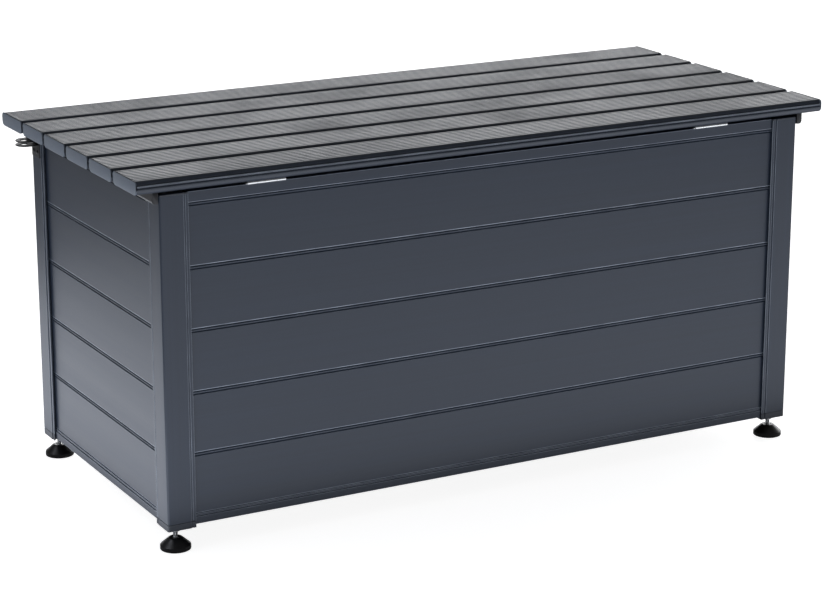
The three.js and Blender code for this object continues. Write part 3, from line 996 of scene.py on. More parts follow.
@dataclass
class Walls:
    """Tongue-and-groove boards between a bottom rail and a top rail, on each side."""

    boards: int = 5
    thickness: float = 0.016
    joint: float = 0.0003
    v_groove: tuple[float, float] = (0.0016, 0.0046)  # depth, and drop below the board's top edge
    chamfer: float = 0.002
    lower_edge: float = 0.0013
    tongue: tuple[float, float] = (0.0054, 0.006)  # width and height
    rail_height: float = 0.012
    rail_seam: tuple[float, float] = (0.0016, 0.0018)  # height and depth
    edge: float = 0.0004

    def board(self, top: float) -> np.ndarray:
        """A board's section: slot below, tongue above, chamfered upper edge and a fine V-groove.

        Args:
            top: Height of the board's shoulder over its lower edge.

        Returns:
            The outline (depth, height).
        """
        width, height = self.tongue
        middle, small = self.thickness / 2, self.edge / 2
        slot, slot_depth = width / 2 + self.joint, height + self.joint
        depth, drop = self.v_groove
        groove = top - drop
        return rounded([
            (0, 0, self.lower_edge), (middle - slot, 0, small), (middle - slot, slot_depth, small),
            (middle + slot, slot_depth, small), (middle + slot, 0, small), (self.thickness, 0, self.edge),
            (self.thickness, top, self.edge), (middle + width / 2, top, small),
            (middle + width / 2, top + height, self.edge), (middle - width / 2, top + height, self.edge),
            (middle - width / 2, top, small), (self.chamfer, top, self.edge),
            (0, top - self.chamfer, self.edge), (0, groove + depth, small), (depth, groove, small),
            (0, groove - depth, small),
        ])

    def bottom_rail(self, low: float, high: float, ledge: float, setback: float) -> np.ndarray:
        """The bottom rail's section: a tube with a seam, a lip under the boards, a tongue and a ledge.

        Args:
            low: Underside of the rail.
            high: Top of its tongue.
            ledge: Depth of the ledge from the rail's outer face.
            setback: The boards' face behind the rail's outer face.

        Returns:
            The outline (depth, height above the floor).
        """
        width, height = self.tongue
        seam_height, seam_depth = self.rail_seam
        top, lip = low + self.rail_height, high - height
        middle, back = setback + self.thickness / 2, setback + self.thickness
        small = self.edge / 2
        return rounded([
            (0, low, 2 * self.edge), (ledge, low, 2 * self.edge), (ledge, top, self.edge), (back, top, small),
            (back, lip, self.edge), (middle + width / 2, lip, small), (middle + width / 2, high, self.edge),
            (middle - width / 2, high, self.edge), (middle - width / 2, lip, small),
            (seam_depth / 2, lip, self.edge), (seam_depth / 2, top + seam_height, small),
            (seam_depth, top + seam_height, small), (seam_depth, top, small), (0, top, self.edge),
        ])

    def top_rail(self, low: float, high: float, depth: float, setback: float) -> np.ndarray:
        """The top rail's section: a tube with a slot for the top board's tongue.

        Args:
            low: Underside of the rail.
            high: Top of the rail.
            depth: Thickness of the rail.
            setback: The boards' face behind the rail's outer face.

        Returns:
            The outline (depth, height above the floor).
        """
        width, height = self.tongue
        middle, slot = setback + self.thickness / 2, width / 2 + self.joint
        small, wide = self.edge / 2, 2 * self.edge
        roof = low + height + self.joint
        return rounded([
            (0, low, wide), (middle - slot, low, small), (middle - slot, roof, small),
            (middle + slot, roof, small), (middle + slot, low, small), (depth, low, wide),
            (depth, high, wide), (0, high, wide),
        ])

    def build(self, palette: Palette) -> None:
        """Makes every board and rail.

        Args:
            palette: The finishes.
        """
        for side, (outward, along) in SIDES.items():
            finish = palette.casing[Run.ALONG_X if along is X else Run.ALONG_Y]
            board_low, board_high = box_of(f"{side}_board_1")
            board_face = wall_axes(side, board_low, board_high).origin @ outward
            sections: dict[str, np.ndarray] = {}
            for number in range(1, self.boards + 1):
                low, high = box_of(f"{side}_board_{number}")
                outline = self.board(high[2] - low[2] - self.tongue[1])
                sections[f"{side}_board_{number}"] = outline + np.array([0, low[2]])
            for rail, section in (("bottom", self.bottom_rail), ("top", self.top_rail)):
                low, high = box_of(f"{side}_{rail}_rail")
                setback = float(wall_axes(side, low, high).origin @ outward - board_face)
                depth = float((high - low) @ np.abs(outward))
                sections[f"{side}_{rail}_rail"] = section(low[2], high[2], depth, setback)
            for node, outline in sections.items():
                low, high = box_of(node)
                shell = extruded(outline, float(low @ along), float(high @ along), wall_axes(side, low, high))
                make_piece(f"{node}_profile", [shell], finish, "casing", [node])


@dataclass
class FloorPanel:
    """A sheet on the ledges of the bottom rails, notched round the posts."""

    notch: float = 0.0263  # from the sheet's edge to the far side of a post
    corner_radius: float = 0.001
    edge: float = 0.0005

    def build(self, palette: Palette) -> None:
        """Makes the panel.

        Args:
            palette: The finishes.
        """
        low, high = box_of("floor_panel")
        x, y, r = high[0], (high[1] - low[1]) / 2, self.corner_radius
        quarter = [(x, y - self.notch, r), (x - self.notch, y - self.notch, 2 * r), (x - self.notch, y, r)]
        outline = rounded([
            *quarter,
            *[(-u, v, k) for u, v, k in reversed(quarter)],
            *[(-u, -v, k) for u, v, k in quarter],
            *[(u, -v, k) for u, v, k in reversed(quarter)],
        ])
        axes = level(0, (low[1] + high[1]) / 2)
        shell = extruded(outline, low[2], high[2], axes, edge=self.edge)
        make_piece("floor_sheet", [shell], palette.sheet, "casing", ["floor_panel"])


@dataclass
class Lid:
    """Grooved slats with end caps, on two end battens and a centre batten."""

    slats: int = 6
    shoulder: tuple[float, float] = (0.008, 0.007)  # width, ledge included, and drop of the shoulder
    ledge: float = 0.0024
    nose: float = 0.0019  # height of the ledge's outer edge
    flute: tuple[float, float] = (0.0030, 0.0010)  # hollow under the ledge: drop and depth
    bottom_radius: float = 0.008
    cap_radii: tuple[float, float] = (0.0085, 0.006)  # lower and upper corners of an end cap
    grooves: int = 8
    groove_depth: float = 0.001
    groove_share: float = 0.46
    waist: float = 0.42  # height where the flute starts, as a share of the slat's
    cap: float = 0.002
    cap_edge: float = 0.0009
    joint: float = 0.00015
    batten_radius: float = 0.005
    screw_margin: float = 0.012  # from a screw to the end of the centre batten
    edge: float = 0.0005

    def side(self, half: float, top: float) -> list[tuple[float, float, float]]:
        """Corners up one side of a slat, from its underside to where its grooved top starts.

        The shoulder is a quarter of an ellipse from upright to flat.

        Args:
            half: Half the slat's width.
            top: Its height.

        Returns:
            Corners (across, height, rounding).
        """
        width, drop = self.shoulder[0] - self.ledge, self.shoulder[1]
        flat, step = half - self.shoulder[0], top - drop
        turns = np.linspace(0, math.pi / 2, 7)[:-1]
        curve = [(flat + width * math.cos(t), step + drop * math.sin(t), 0) for t in turns]
        flute_drop, flute_depth = self.flute
        return [
            (half, 0, self.bottom_radius), (half, self.waist * top, 0.0008),
            (half - flute_depth, step - flute_drop, 0.0004), (half, step - self.nose, 0.0006),
            (half, step, 0.0008), (half - self.ledge, step, 0.0002), *curve[1:],
        ]

    def section(self, half: float, top: float) -> np.ndarray:
        """The slat's section about its middle: grooved top, shoulders, ledges and round lower corners.

        Args:
            half: Half its width.
            top: Its height.

        Returns:
            The outline (across, height).
        """
        flat = half - self.shoulder[0]
        pitch = 2 * flat / self.grooves
        wide = pitch * self.groove_share / 2
        right = self.side(half, top)
        left = [(-u, v, r) for u, v, r in reversed(right)]
        floor = top - self.groove_depth
        cuts = [
            corner
            for middle in flat - (np.arange(self.grooves) + 0.5) * pitch
            for corner in ((middle + wide, top, 0.0006), (middle + wide / 3, floor, 0.0004),
                           (middle - wide / 3, floor, 0.0004), (middle - wide, top, 0.0006))
        ]
        return rounded([*right, (flat, top, 0.0012), *cuts, (-flat, top, 0.0012), *left], steps=3)

    def cap_outline(self, half: float, top: float) -> np.ndarray:
        """An end cap's outline: a rectangle with round corners that hides the slat's section."""
        low, high = self.cap_radii
        return rounded([(-half, 0, low), (half, 0, low), (half, top, high), (-half, top, high)], steps=8)

    def build_slats(self, palette: Palette) -> None:
        """Makes the slats and a flat cap on each of their ends.

        Args:
            palette: The finishes.
        """
        for number in range(1, self.slats + 1):
            node = f"slat_{number}"
            low, high = box_of(node)
            half, top = (high[1] - low[1]) / 2, high[2] - low[2]
            axes = Axes(np.array([0, (low[1] + high[1]) / 2, low[2]]), Y, Z, X)
            body = extruded(self.section(half, top), low[0] + self.cap, high[0] - self.cap, axes)
            make_piece(f"{node}_profile", [body], palette.slat, "lid", [node])
            plain = self.cap_outline(half, top)
            for end, sign in ENDS.items():
                outer = high[0] if sign > 0 else -low[0]
                turned_axes = Axes(axes.origin, Y, Z, sign * X)
                cap = extruded(plain, outer - self.cap + self.joint, outer, turned_axes, edge=self.cap_edge)
                make_piece(f"{node}_cap_{end}", [cap], palette.slat_end, "lid")

    def batten_screws(self, x: float, z: float, places: Sequence[float]) -> list[Shell]:
        """A screw in the underside of a batten at each place along Y."""
        return [part for y in places for part in screw(Axes(np.array([x, y, z]), Y, X, -Z))]

    def build_battens(self, palette: Palette) -> None:
        """Makes the battens and the screws that hold the slats on them.

        Args:
            palette: The finishes.
        """
        boxes = [box_of(f"slat_{number}") for number in range(1, self.slats + 1)]
        middles = [float(low[1] + high[1]) / 2 for low, high in boxes]
        tab_low, tab_high = box_of("lid_lock_tab")
        for end, sign in ENDS.items():
            low, high = box_of(f"end_batten_{end}")
            outer, inner = (high[0], low[0]) if sign > 0 else (low[0], high[0])
            r = self.batten_radius
            width, height = abs(outer - inner), high[2] - low[2]
            outline = rounded([
                (0, 0, self.edge), (width, 0, r), (width, height, self.edge), (0, height, self.edge),
            ])
            axes = Axes(np.array([inner, 0, low[2]]), sign * X, Z, Y)
            batten = [extruded(outline, low[1], high[1], axes, edge=self.edge)]
            node = f"end_batten_{end}"
            make_piece(f"{node}_profile", batten, palette.black, "lid", [node])
            places = [y for y in middles if sign > 0 or not tab_low[1] < y < tab_high[1]]
            heads = self.batten_screws((outer + inner) / 2 - sign * r / 4, low[2], places)
            make_piece(f"{node}_screws", heads, palette.zinc, "lid")
        low, high = box_of("centre_batten")
        outline = rectangle(low[0], low[2], high[0], high[2], 3 * self.edge)
        batten = extruded(outline, low[1], high[1], Axes(np.zeros(3), X, Z, Y), edge=self.edge)
        make_piece("centre_batten_profile", [batten], palette.black, "lid", ["centre_batten"])
        first, last = low[1] + self.screw_margin, high[1] - self.screw_margin
        heads = self.batten_screws(0, low[2], [min(max(y, first), last) for y in middles])
        make_piece("centre_batten_screws", heads, palette.zinc, "lid")

    def build(self, palette: Palette) -> None:
        """Makes the whole lid in the finishes of the palette."""
        self.build_slats(palette)
        self.build_battens(palette)


@dataclass
class Hinges:
    """Two butt hinges: leaves with rolled knuckles, a pin with domed heads, and countersunk screws."""

    knuckle: float = 0.033  # length of the middle knuckle
    pin: tuple[float, float] = (0.75, 0.6)  # radii of the pin and its end, as shares of the knuckle's
    pin_dome: float = 0.0002
    leaf: float = 0.0014
    clearance: float = 0.0003
    edge: float = 0.0003
    screws: int = 3
    screw_spread: float = 0.72  # place of the outer screws, as a share of the half length
    screw_size: tuple[float, float] = (0.0028, 0.0005)  # radius and height of the head

    def barrel(self, radius: float, start: float, end: float, axes: Axes) -> Shell:
        """A knuckle, its rims eased."""
        return turned([(radius, start, 2 * self.edge), (radius, end, 2 * self.edge)], axes, around=32)

    def plate(self, near: float, far: float, z0: float, x0: float, x1: float, axes: Axes) -> Shell:
        """A stretch of leaf from near the axis to its free edge."""
        outline = rectangle(near, x0, far, x1, 2 * self.edge)
        return extruded(outline, z0, z0 + self.leaf, Axes(axes.origin, Y, X, Z), edge=self.edge)

    def build(self, palette: Palette) -> None:
        """Makes both leaves of both hinges.

        Args:
            palette: The finishes.
        """
        for end in ENDS:
            low, high = box_of(f"hinge_{end}_casing_leaf")
            lid_top = box_of(f"hinge_{end}_lid_leaf")[1][2]
            radius = (lid_top - low[2]) / 2
            axis = np.array([(low[0] + high[0]) / 2, low[1] + radius, low[2] + radius])
            half, middle = (high[0] - low[0]) / 2, self.knuckle / 2
            far = high[1] - axis[1]
            axes = Axes(axis, Y, Z, X)
            gap = middle + self.clearance
            clear = radius + self.clearance
            screw_y = (clear + far) / 2
            outer = self.screw_spread * half
            floor, ceiling = -radius, radius - self.leaf
            (shank, rim), dome = (share * radius for share in self.pin), self.pin_dome
            lower = [
                self.barrel(radius, -middle, middle, axes),
                self.plate(0, far, floor, -middle, middle, axes),
                self.plate(clear, far, floor, -half, half, axes),
                turned([
                    (rim, -half - dome, 0), (shank, -half + dome, dome), (shank, half - dome, dome),
                    (rim, half + dome, 0),
                ], axes, around=24),
            ]
            upper = [
                self.barrel(radius, -half + 2 * dome, -gap, axes),
                self.barrel(radius, gap, half - 2 * dome, axes),
                self.plate(0, far, ceiling, -half, -gap, axes),
                self.plate(0, far, ceiling, gap, half, axes),
                self.plate(clear, far, ceiling, -half, half, axes),
            ]
            for x in np.linspace(-outer, outer, self.screws):
                seat = axis + np.array([x, screw_y, 0])
                lower += screw(Axes(seat + (floor + self.leaf) * Z, X, Y, Z), *self.screw_size)
                upper += screw(Axes(seat + ceiling * Z, Y, X, -Z), *self.screw_size)
            halves = (("lower", lower, "casing"), ("upper", upper, "lid"))
            for place, shells, body in halves:
                node = f"hinge_{end}_{body}_leaf"
                make_piece(f"hinge_{end}_{place}", shells, palette.brushed, body, [node])


@dataclass
class PadlockTabs:
    """A tab on the lid over a bracket on the casing, with a shackle hole through both."""

    hole_radius: float = 0.006
    hole_out: float = 0.022  # hole centre from the end of the casing
    lid_screws: tuple[float, float] = (0.0028, 0.0008)  # radius and height of the head
    flange_screw_height: float = 0.4  # as a share of the flange's
    edge: float = 0.0005

    def tab(self, root: float, tip: float, half: float) -> np.ndarray:
        """A tab's outline from its root to its round tip, towards +u.

        Args:
            root: Where the tab starts.
            tip: Where it ends.
            half: Half its width.

        Returns:
            The outline (out, across).
        """
        tip_radius = half - 1e-5  # short of half the width, so that the two roundings don't meet
        return rounded([
            (root, -half, self.edge), (tip, -half, tip_radius),
            (tip, half, tip_radius), (root, half, self.edge),
        ], steps=12)

    def build(self, palette: Palette) -> None:
        """Makes the tab and the bracket with their screws.

        Args:
            palette: The finishes.
        """
        face = box_of("rear_left_post")[0][0]
        low, high = box_of("lid_lock_tab")
        y, half = (low[1] + high[1]) / 2, (high[1] - low[1]) / 2
        axes = Axes(np.array([face, y, 0]), -X, Y, Z)
        hole = (self.hole_out, 0, self.hole_radius)
        lid_plate = self.tab(face - high[0], face - low[0], half)
        thickness = high[2] - low[2]
        lid_tab = [pierced(lid_plate, hole, low[2], high[2], axes, self.edge)]
        batten_low, batten_high = box_of("end_batten_left")
        for offset in (-half / 1.6, half / 1.6):
            seat = np.array([(batten_low[0] + batten_high[0]) / 2, y + offset, low[2]])
            lid_tab += screw(Axes(seat, Y, X, -Z), *self.lid_screws)
        make_piece("lid_tab_plate", lid_tab, palette.black, "lid", ["lid_lock_tab"])
        low, high = box_of("casing_lock_tab")
        root, tip = face - high[0], face - low[0]
        plate = pierced(self.tab(root, tip, half), hole, high[2] - thickness, high[2], axes, self.edge)
        upright = Axes(np.array([high[0], y, 0]), Y, Z, -X)
        flange_outline = rectangle(-half, low[2], half, high[2], 2 * self.edge)
        flange = extruded(flange_outline, 0, thickness, upright, edge=self.edge)
        bracket = [plate, flange]
        screw_z = low[2] + self.flange_screw_height * (high[2] - low[2])
        for offset in (-half / 2, half / 2):
            bracket += screw(Axes(np.array([high[0] - thickness, y + offset, screw_z]), Y, Z, -X))
        make_piece("casing_tab_bracket", bracket, palette.black, "casing", ["casing_lock_tab"])


@dataclass
class LevellingFeet:
    """A moulded conical pad on a threaded stud, with a lock nut under each post."""

    rim: float = 0.007
    top_radius: float = 0.0105
    socket_radius: float = 0.0056
    socket_depth: float = 0.0075
    stud_radius: float = 0.004
    nut_flats: float = 0.013
    nut_height: float = 0.0065
    nut_gap: float = 0.0003
    nut_bevel: float = 0.0008
    bore_clearance: float = 0.0002
    bore_chamfer: float = 0.0006
    base_edge: float = 0.0012

    def pad(self, radius: float, height: float, axes: Axes) -> Shell:
        """The pad: flat base, upright rim, cone, and a dished socket round the stud.

        Args:
            radius: Radius of the base.
            height: Height of the pad.
            axes: Its place, on the floor.

        Returns:
            The closed shell.
        """
        ease = self.base_edge
        return turned([
            (radius, 0, ease), (radius, self.rim, ease), (self.top_radius + ease, height - ease, 0.003),
            (self.top_radius - 0.001, height, 0.0007), (self.socket_radius, height, 0.0006),
            (self.socket_radius - 0.0004, height - self.socket_depth, 0.0003),
        ], axes, around=64)

    def nut(self, low: float, axes: Axes) -> Shell:
        """A hexagon nut with turned corners and a clear hole.

        At each angle an end face reaches to the lesser of the hexagon's radius and a turned one.

        Args:
            low: Height of its underside.
            axes: Its place, on the floor.

        Returns:
            The closed shell.
        """
        around, turned_share = 48, 1.01  # the turned radius over half the width across flats
        angle = bearings(around)
        wall = hexagon(angle, self.nut_flats)
        turn = np.minimum(wall, self.nut_flats / 2 * turned_share)
        bore = np.full(around, self.stud_radius + self.bore_clearance)
        chamfer, bevel = self.bore_chamfer, self.nut_bevel
        mouth = bore + chamfer
        high = low + self.nut_height
        loop = [
            (turn, low), (wall, low + bevel), (wall, high - bevel), (turn, high),
            (mouth, high), (bore, high - chamfer), (bore, low + chamfer), (mouth, low),
        ]
        rings = [axes.carry(r * np.cos(angle), r * np.sin(angle), z) for r, z in loop]
        return loft(np.stack(rings), Ends.JOINED)

    def build(self, palette: Palette) -> None:
        """Makes each foot's pad, stud and lock nut.

        Args:
            palette: The finishes.
        """
        for corner in CORNERS:
            low, high = box_of(f"{corner}_foot_pad")
            stud_low, stud_high = box_of(f"{corner}_foot_stud")
            post_low = box_of(f"{corner}_post")[0]
            axes = level((low[0] + high[0]) / 2, (low[1] + high[1]) / 2)
            body = f"{corner}_foot"
            pad = self.pad((high[0] - low[0]) / 2, high[2], axes)
            stud = threaded(self.stud_radius, stud_low[2], stud_high[2], axes)
            nut = self.nut(post_low[2] - self.nut_gap - self.nut_height, axes)
            make_piece(f"{body}_cone", [pad], palette.plastic, body, [f"{body}_pad"])
            make_piece(f"{body}_thread", [stud], palette.zinc, body, [f"{body}_stud"])
            make_piece(f"{body}_lock_nut", [nut], palette.zinc, "casing")


@dataclass
class LidStays:
    """Gas stays inside the end walls: cylinder, rod, ball sockets, ball studs and brackets."""

    ball_radius: float = 0.0042
    neck_radius: float = 0.0025
    rod_radius: float = 0.003
    collar: tuple[float, float, float] = (0.005, 0.002, 0.009)  # radius, thickness, across flats
    nut: tuple[float, float, float] = (0.0046, 0.0035, 0.008)  # radius, thickness, across flats
    plate: float = 0.002
    plate_edge: float = 0.0003
    upper_reach: float = 0.015  # from the stay's axis to the upper bracket
    upper_drop: float = 0.008  # the upper bracket's plate below the pivot
    lower_plate: tuple[float, float] = (0.040, 0.010)  # height, and reach past the pivot
    upper_plate: tuple[float, float] = (0.030, 0.020)  # length along the slat, and width of its foot
    socket: float = 0.013  # from the ball to the socket's outer end
    shoulder: tuple[float, float] = (0.8, 0.93)  # tube's lower end and rolled top, as shares of its radius

    def ball_stud(self, pivot: np.ndarray, away: np.ndarray, reach: float) -> list[Shell]:
        """A ball on a necked stud with a collar against its bracket, and a nut behind it.

        Args:
            pivot: Middle of the ball.
            away: Direction from the ball to the bracket.
            reach: Distance from the ball to the bracket.

        Returns:
            The ball, the collar and the nut.
        """
        axes = Axes(pivot, Y, Z, away)
        r = self.ball_radius
        collar_radius, thickness, collar_flats = self.collar
        nut_radius, nut_height, nut_flats = self.nut
        seat, back = reach - thickness, reach + self.plate
        ball = [
            (0.3 * r, -r, 0.0004), (r, -0.7 * r, 0.0012), (r, 0.7 * r, 0.0012),
            (self.neck_radius, 1.2 * r, 0.0004), (self.neck_radius, seat, 0),
        ]
        collar = [(collar_radius, seat, 0.0003), (collar_radius, reach, 0.0002)]
        nut = [(nut_radius, back, 0.0002), (nut_radius, back + nut_height, 0.0003)]
        return [
            turned(ball, axes, around=32),
            turned(collar, axes, around=36, flats=collar_flats),
            turned(nut, axes, around=36, flats=nut_flats),
        ]

    def ball_socket(self, eye: float, top: float, rounding: float, axes: Axes) -> Shell:
        """A moulded socket round the ball at w = 0, with a neck towards +w.

        Args:
            eye: Radius of the socket.
            top: Where its neck ends.
            rounding: Rounding of the neck's end.
            axes: Its place.

        Returns:
            The closed shell.
        """
        neck = 0.72 * eye
        return turned([
            (0.6 * eye, -eye, 0.001), (eye, -0.55 * eye, 0.002), (eye, 0.6 * eye, 0.002),
            (neck, self.socket - 0.004, 0.001), (neck, top, rounding),
        ], axes)

    def build_strut(self, end: str, palette: Palette) -> tuple[np.ndarray, np.ndarray]:
        """Makes the cylinder and the rod of one stay.

        Args:
            end: Name of the end wall.
            palette: The finishes.

        Returns:
            The lower and the upper pivot.
        """
        low, high = box_of(f"stay_{end}_cylinder")
        rod_top = box_of(f"stay_{end}_rod")[1][2]
        joint = next(j for j in frame["joints"] if j["name"] == f"stay_{end}_swing")
        pivot = np.array(joint["pos_m"])
        radius, eye = (high[0] - low[0]) / 2, pivot[2] - low[2]
        upper = np.array([pivot[0], pivot[1], rod_top - eye])
        axes = level(*pivot)
        top, length = high[2] - pivot[2], upper[2] - pivot[2]
        small, rolled = (share * radius for share in self.shoulder)
        cylinder = turned([
            (small, self.socket + 0.001, 0.0008), (radius, self.socket + 0.003, 0.0012),
            (radius, top - 0.006, 0.0006), (rolled, top - 0.005, 0.0006), (rolled, top, 0.0015),
        ], axes)
        socket = self.ball_socket(eye, self.socket + 0.0012, 0, axes)
        rod_end = length - self.socket + 0.001
        rod = turned([(self.rod_radius, top - 0.004, 0.0003), (self.rod_radius, rod_end, 0)], axes)
        rod_socket = self.ball_socket(eye, self.socket, 0.0004, Axes(upper, X, Y, -Z))
        tube_body, rod_body = f"stay_{end}_cylinder", f"stay_{end}_rod"
        make_piece(f"stay_{end}_tube", [cylinder], palette.black, tube_body, [tube_body])
        make_piece(f"stay_{end}_lower_socket", [socket], palette.plastic, tube_body)
        make_piece(f"stay_{end}_piston_rod", [rod], palette.chrome, rod_body, [rod_body])
        make_piece(f"stay_{end}_upper_socket", [rod_socket], palette.plastic, rod_body)
        return pivot, upper

    def build_lower_bracket(self, end: str, pivot: np.ndarray, palette: Palette) -> None:
        """Makes the plate on the rear post that holds the lower ball stud.

        Args:
            end: Name of the end wall.
            pivot: The lower pivot.
            palette: The finishes.
        """
        sign = ENDS[end]
        posts = CornerPosts()
        post_low, post_high = box_of(f"rear_{end}_post")
        outer = post_high[0] if sign > 0 else post_low[0]
        face = outer - sign * posts.tube
        back = post_low[1] + posts.channel + posts.inner_flange
        height, reach = self.lower_plate
        axes = Axes(np.array([face, 0, pivot[2]]), Y, Z, -sign * X)
        clear, joint, corner, screw_in = 0.0005, 0.0001, 0.005, 0.009
        outline = rectangle(back + clear, -height / 2, pivot[1] + reach, height / 2, corner)
        shells = [extruded(outline, joint, self.plate, axes, edge=self.plate_edge)]
        for z in (-height / 3, height / 3):
            seat = np.array([face - sign * self.plate, back + screw_in, pivot[2] + z])
            shells += screw(Axes(seat, Y, Z, -sign * X))
        stud_reach = abs(face - pivot[0]) - self.plate
        shells += self.ball_stud(pivot, sign * X, stud_reach)
        make_piece(f"stay_{end}_lower_bracket", shells, palette.zinc, "casing")

    def build_upper_bracket(self, end: str, pivot: np.ndarray, palette: Palette) -> None:
        """Makes the angle under the hinged slat that holds the upper ball stud.

        Args:
            end: Name of the end wall.
            pivot: The upper pivot.
            palette: The finishes.
        """
        sign = ENDS[end]
        ceiling = box_of("slat_1")[0][2]
        length, foot = self.upper_plate
        inner = pivot[0] - sign * (self.upper_reach + self.plate)
        axes = Axes(np.array([inner, pivot[1], ceiling]), -sign * X, Z, Y)
        t, edge = self.plate, self.plate_edge
        outer_bend, inner_bend, screw_share = 0.0026, 0.0008, 0.55
        drop = ceiling - pivot[2] + self.upper_drop
        outline = rounded([
            (-t, 0, outer_bend), (-t, -drop, edge), (0, -drop, edge), (0, -t, inner_bend),
            (foot, -t, edge), (foot, 0, edge),
        ])
        shells = [extruded(outline[::-1], -length / 2, length / 2, axes, edge=edge)]
        for y in (-length / 4, length / 4):
            seat = np.array([inner - sign * foot * screw_share, pivot[1] + y, ceiling - t])
            shells += screw(Axes(seat, Y, X, -Z))
        shells += self.ball_stud(pivot, -sign * X, self.upper_reach)
        make_piece(f"stay_{end}_upper_bracket", shells, palette.zinc, "lid")

    def build(self, palette: Palette) -> None:
        """Makes both stays and their brackets.

        Args:
            palette: The finishes.
        """
        for end in ENDS:
            lower, upper = self.build_strut(end, palette)
            self.build_lower_bracket(end, lower, palette)
            self.build_upper_bracket(end, upper, palette)


# ---- Studio ----


COOL_WHITE: Colour = (0.93, 0.97, 1.06)


@dataclass(frozen=True)
class Light:
    """A soft rectangular light that the camera doesn't see."""

    name: str
    place: tuple[float, float, float]
    target: tuple[float, float, float]
    size: tuple[float, float]
    power: float

    def build(self) -> None:
        """Adds the light to the scene."""
        data = bpy.data.lights.new(self.name, "AREA")
        data.shape = "RECTANGLE"
        data.size, data.size_y = self.size
        data.energy = self.power
        data.color = COOL_WHITE
        lamp = bpy.data.objects.new(self.name, data)
        bpy.context.scene.collection.objects.link(lamp)
        lamp.location = self.place
        aim = Vector(self.target) - Vector(self.place)
        lamp.rotation_euler = aim.to_track_quat("-Z", "Y").to_euler()
        lamp.visible_camera = False


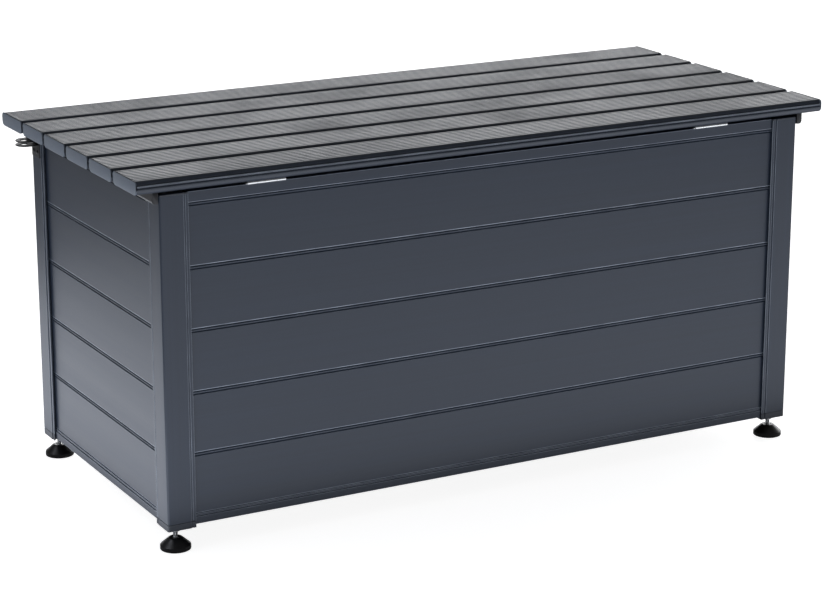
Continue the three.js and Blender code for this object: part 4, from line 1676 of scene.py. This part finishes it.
@dataclass
class Studio:
    """A pale floor, a white sky, soft lights and the camera."""

    camera_place: tuple[float, float, float] = (-2.035, -3.717, 1.488)
    camera_azimuth: float = -28.646  # degrees, 0 looks along +Y
    camera_elevation: float = 16.227
    lens: float = 111.2
    floor_radius: float = 12.0
    floor_drop: float = 0.0002  # below the feet
    floor_greys: tuple[Colour, Colour] = ((0.60, 0.60, 0.60), (0.63, 0.63, 0.63))
    floor_glow: tuple[float, float] = (0.05, 0.9)  # as a light, and to the camera
    sky: Colour = (0.97, 0.98, 1.0)
    sky_seen: float = 1.1  # strength to the camera
    dome: float = 0.12  # strength overhead
    back_band: float = 3.1  # strength of the band, over the dome's
    band_side: tuple[float, float] = (0.85, 1.2)  # X + Y of a direction where the band starts and is full
    band_top: tuple[float, float] = (0.45, 0.75)  # Z of a direction where it starts to fade and is gone
    lights: tuple[Light, ...] = (
        Light("left_high", (-3.0, 0.2, 3.0), (-0.6, 0, 0.3), (2.2, 2.0), power=24.0),
        Light("left_low", (-0.84, 0.35, 0.015), (-0.84, 0.35, 1.0), (0.45, 2.0), power=5.2),
        Light("front_low", (0.6, -1.4, 0.015), (0.6, -1.4, 1.0), (3.6, 2.1), power=30.0),
    )

    def build_camera(self) -> None:
        """Places the camera."""
        data = bpy.data.cameras.new("camera")
        data.lens = self.lens
        data.sensor_width = 36.0
        data.clip_end = 60.0
        camera = bpy.data.objects.new("camera", data)
        bpy.context.scene.collection.objects.link(camera)
        azimuth, elevation = math.radians(self.camera_azimuth), math.radians(self.camera_elevation)
        flat = math.cos(elevation)
        back = Vector((math.sin(azimuth) * flat, -math.cos(azimuth) * flat, math.sin(elevation)))
        camera.location = self.camera_place
        camera.rotation_euler = (-back).to_track_quat("-Z", "Y").to_euler()
        bpy.context.scene.camera = camera

    def build_floor(self) -> None:
        """Makes the floor, a flat disc that glows faintly so that shadows on it stay light."""
        around = 64
        angle = bearings(around)
        rim = self.floor_radius * np.stack([np.cos(angle), np.sin(angle), 0 * angle], axis=1)
        mesh = bpy.data.meshes.new("floor")
        mesh.from_pydata((rim - self.floor_drop * Z).tolist(), [], [list(range(around))])
        made, wire, shader = finish_shader("pale_floor")
        tone = wire.span(wire.noise(wire.place(), 3.0), (0.3, 0.7))
        eye = wire.add("ShaderNodeLightPath").outputs["Is Camera Ray"]
        wire.fill(shader, {
            "Base Color": wire.mix(tone, *self.floor_greys),
            "Roughness": 0.6,
            "Emission Color": (1, 1, 1, 1),
            "Emission Strength": wire.span(eye, (0, 1), self.floor_glow),
        })
        mesh.materials.append(made)
        floor = bpy.data.objects.new("floor", mesh)
        bpy.context.scene.collection.objects.link(floor)
        floor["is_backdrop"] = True

    def build_world(self) -> None:
        """Makes a sky that is white to the eye.

        As a light it is dim overhead, with a bright band low behind the box and to its right.
        """
        world = bpy.data.worlds.new("soft_sky")
        world.use_nodes = True
        bpy.context.scene.world = world
        wire = Wiring(world.node_tree)
        background = world.node_tree.nodes["Background"]
        background.inputs["Color"].default_value = (*self.sky, 1)
        direction = wire.add("ShaderNodeTexCoord").outputs["Generated"]
        way = wire.add("ShaderNodeSeparateXYZ", {0: direction}).outputs
        behind = wire.span(wire.math("ADD", way["X"], way["Y"]), self.band_side)
        low = wire.span(way["Z"], self.band_top, (1, 0))
        light = wire.math("ADD", wire.times(wire.times(behind, low), self.back_band), self.dome)
        eye = wire.add("ShaderNodeLightPath").outputs["Is Camera Ray"]
        wire.fill(background, {"Strength": wire.math("MAXIMUM", light, wire.times(eye, self.sky_seen))})

    def build(self) -> None:
        """Makes the whole studio."""
        self.build_camera()
        self.build_floor()
        self.build_world()
        for light in self.lights:
            light.build()
        bpy.context.scene.view_settings.view_transform = "Standard"


def main() -> None:
    """Builds the box on its frame, then the studio."""
    logging.basicConfig(level=logging.INFO, format="%(name)s: %(message)s")
    palette = Palette()
    for assembly in (CornerPosts, Walls, FloorPanel, Lid, Hinges, PadlockTabs, LevellingFeet, LidStays):
        assembly().build(palette)
        log.info("%s done", assembly.__name__)
    Studio().build()
    boxes = {"cad": cad_bounds, "visual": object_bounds()}
    sizes = {name: [list(corner) for corner in box] for name, box in boxes.items()}


if __name__ == "__main__":
    main()
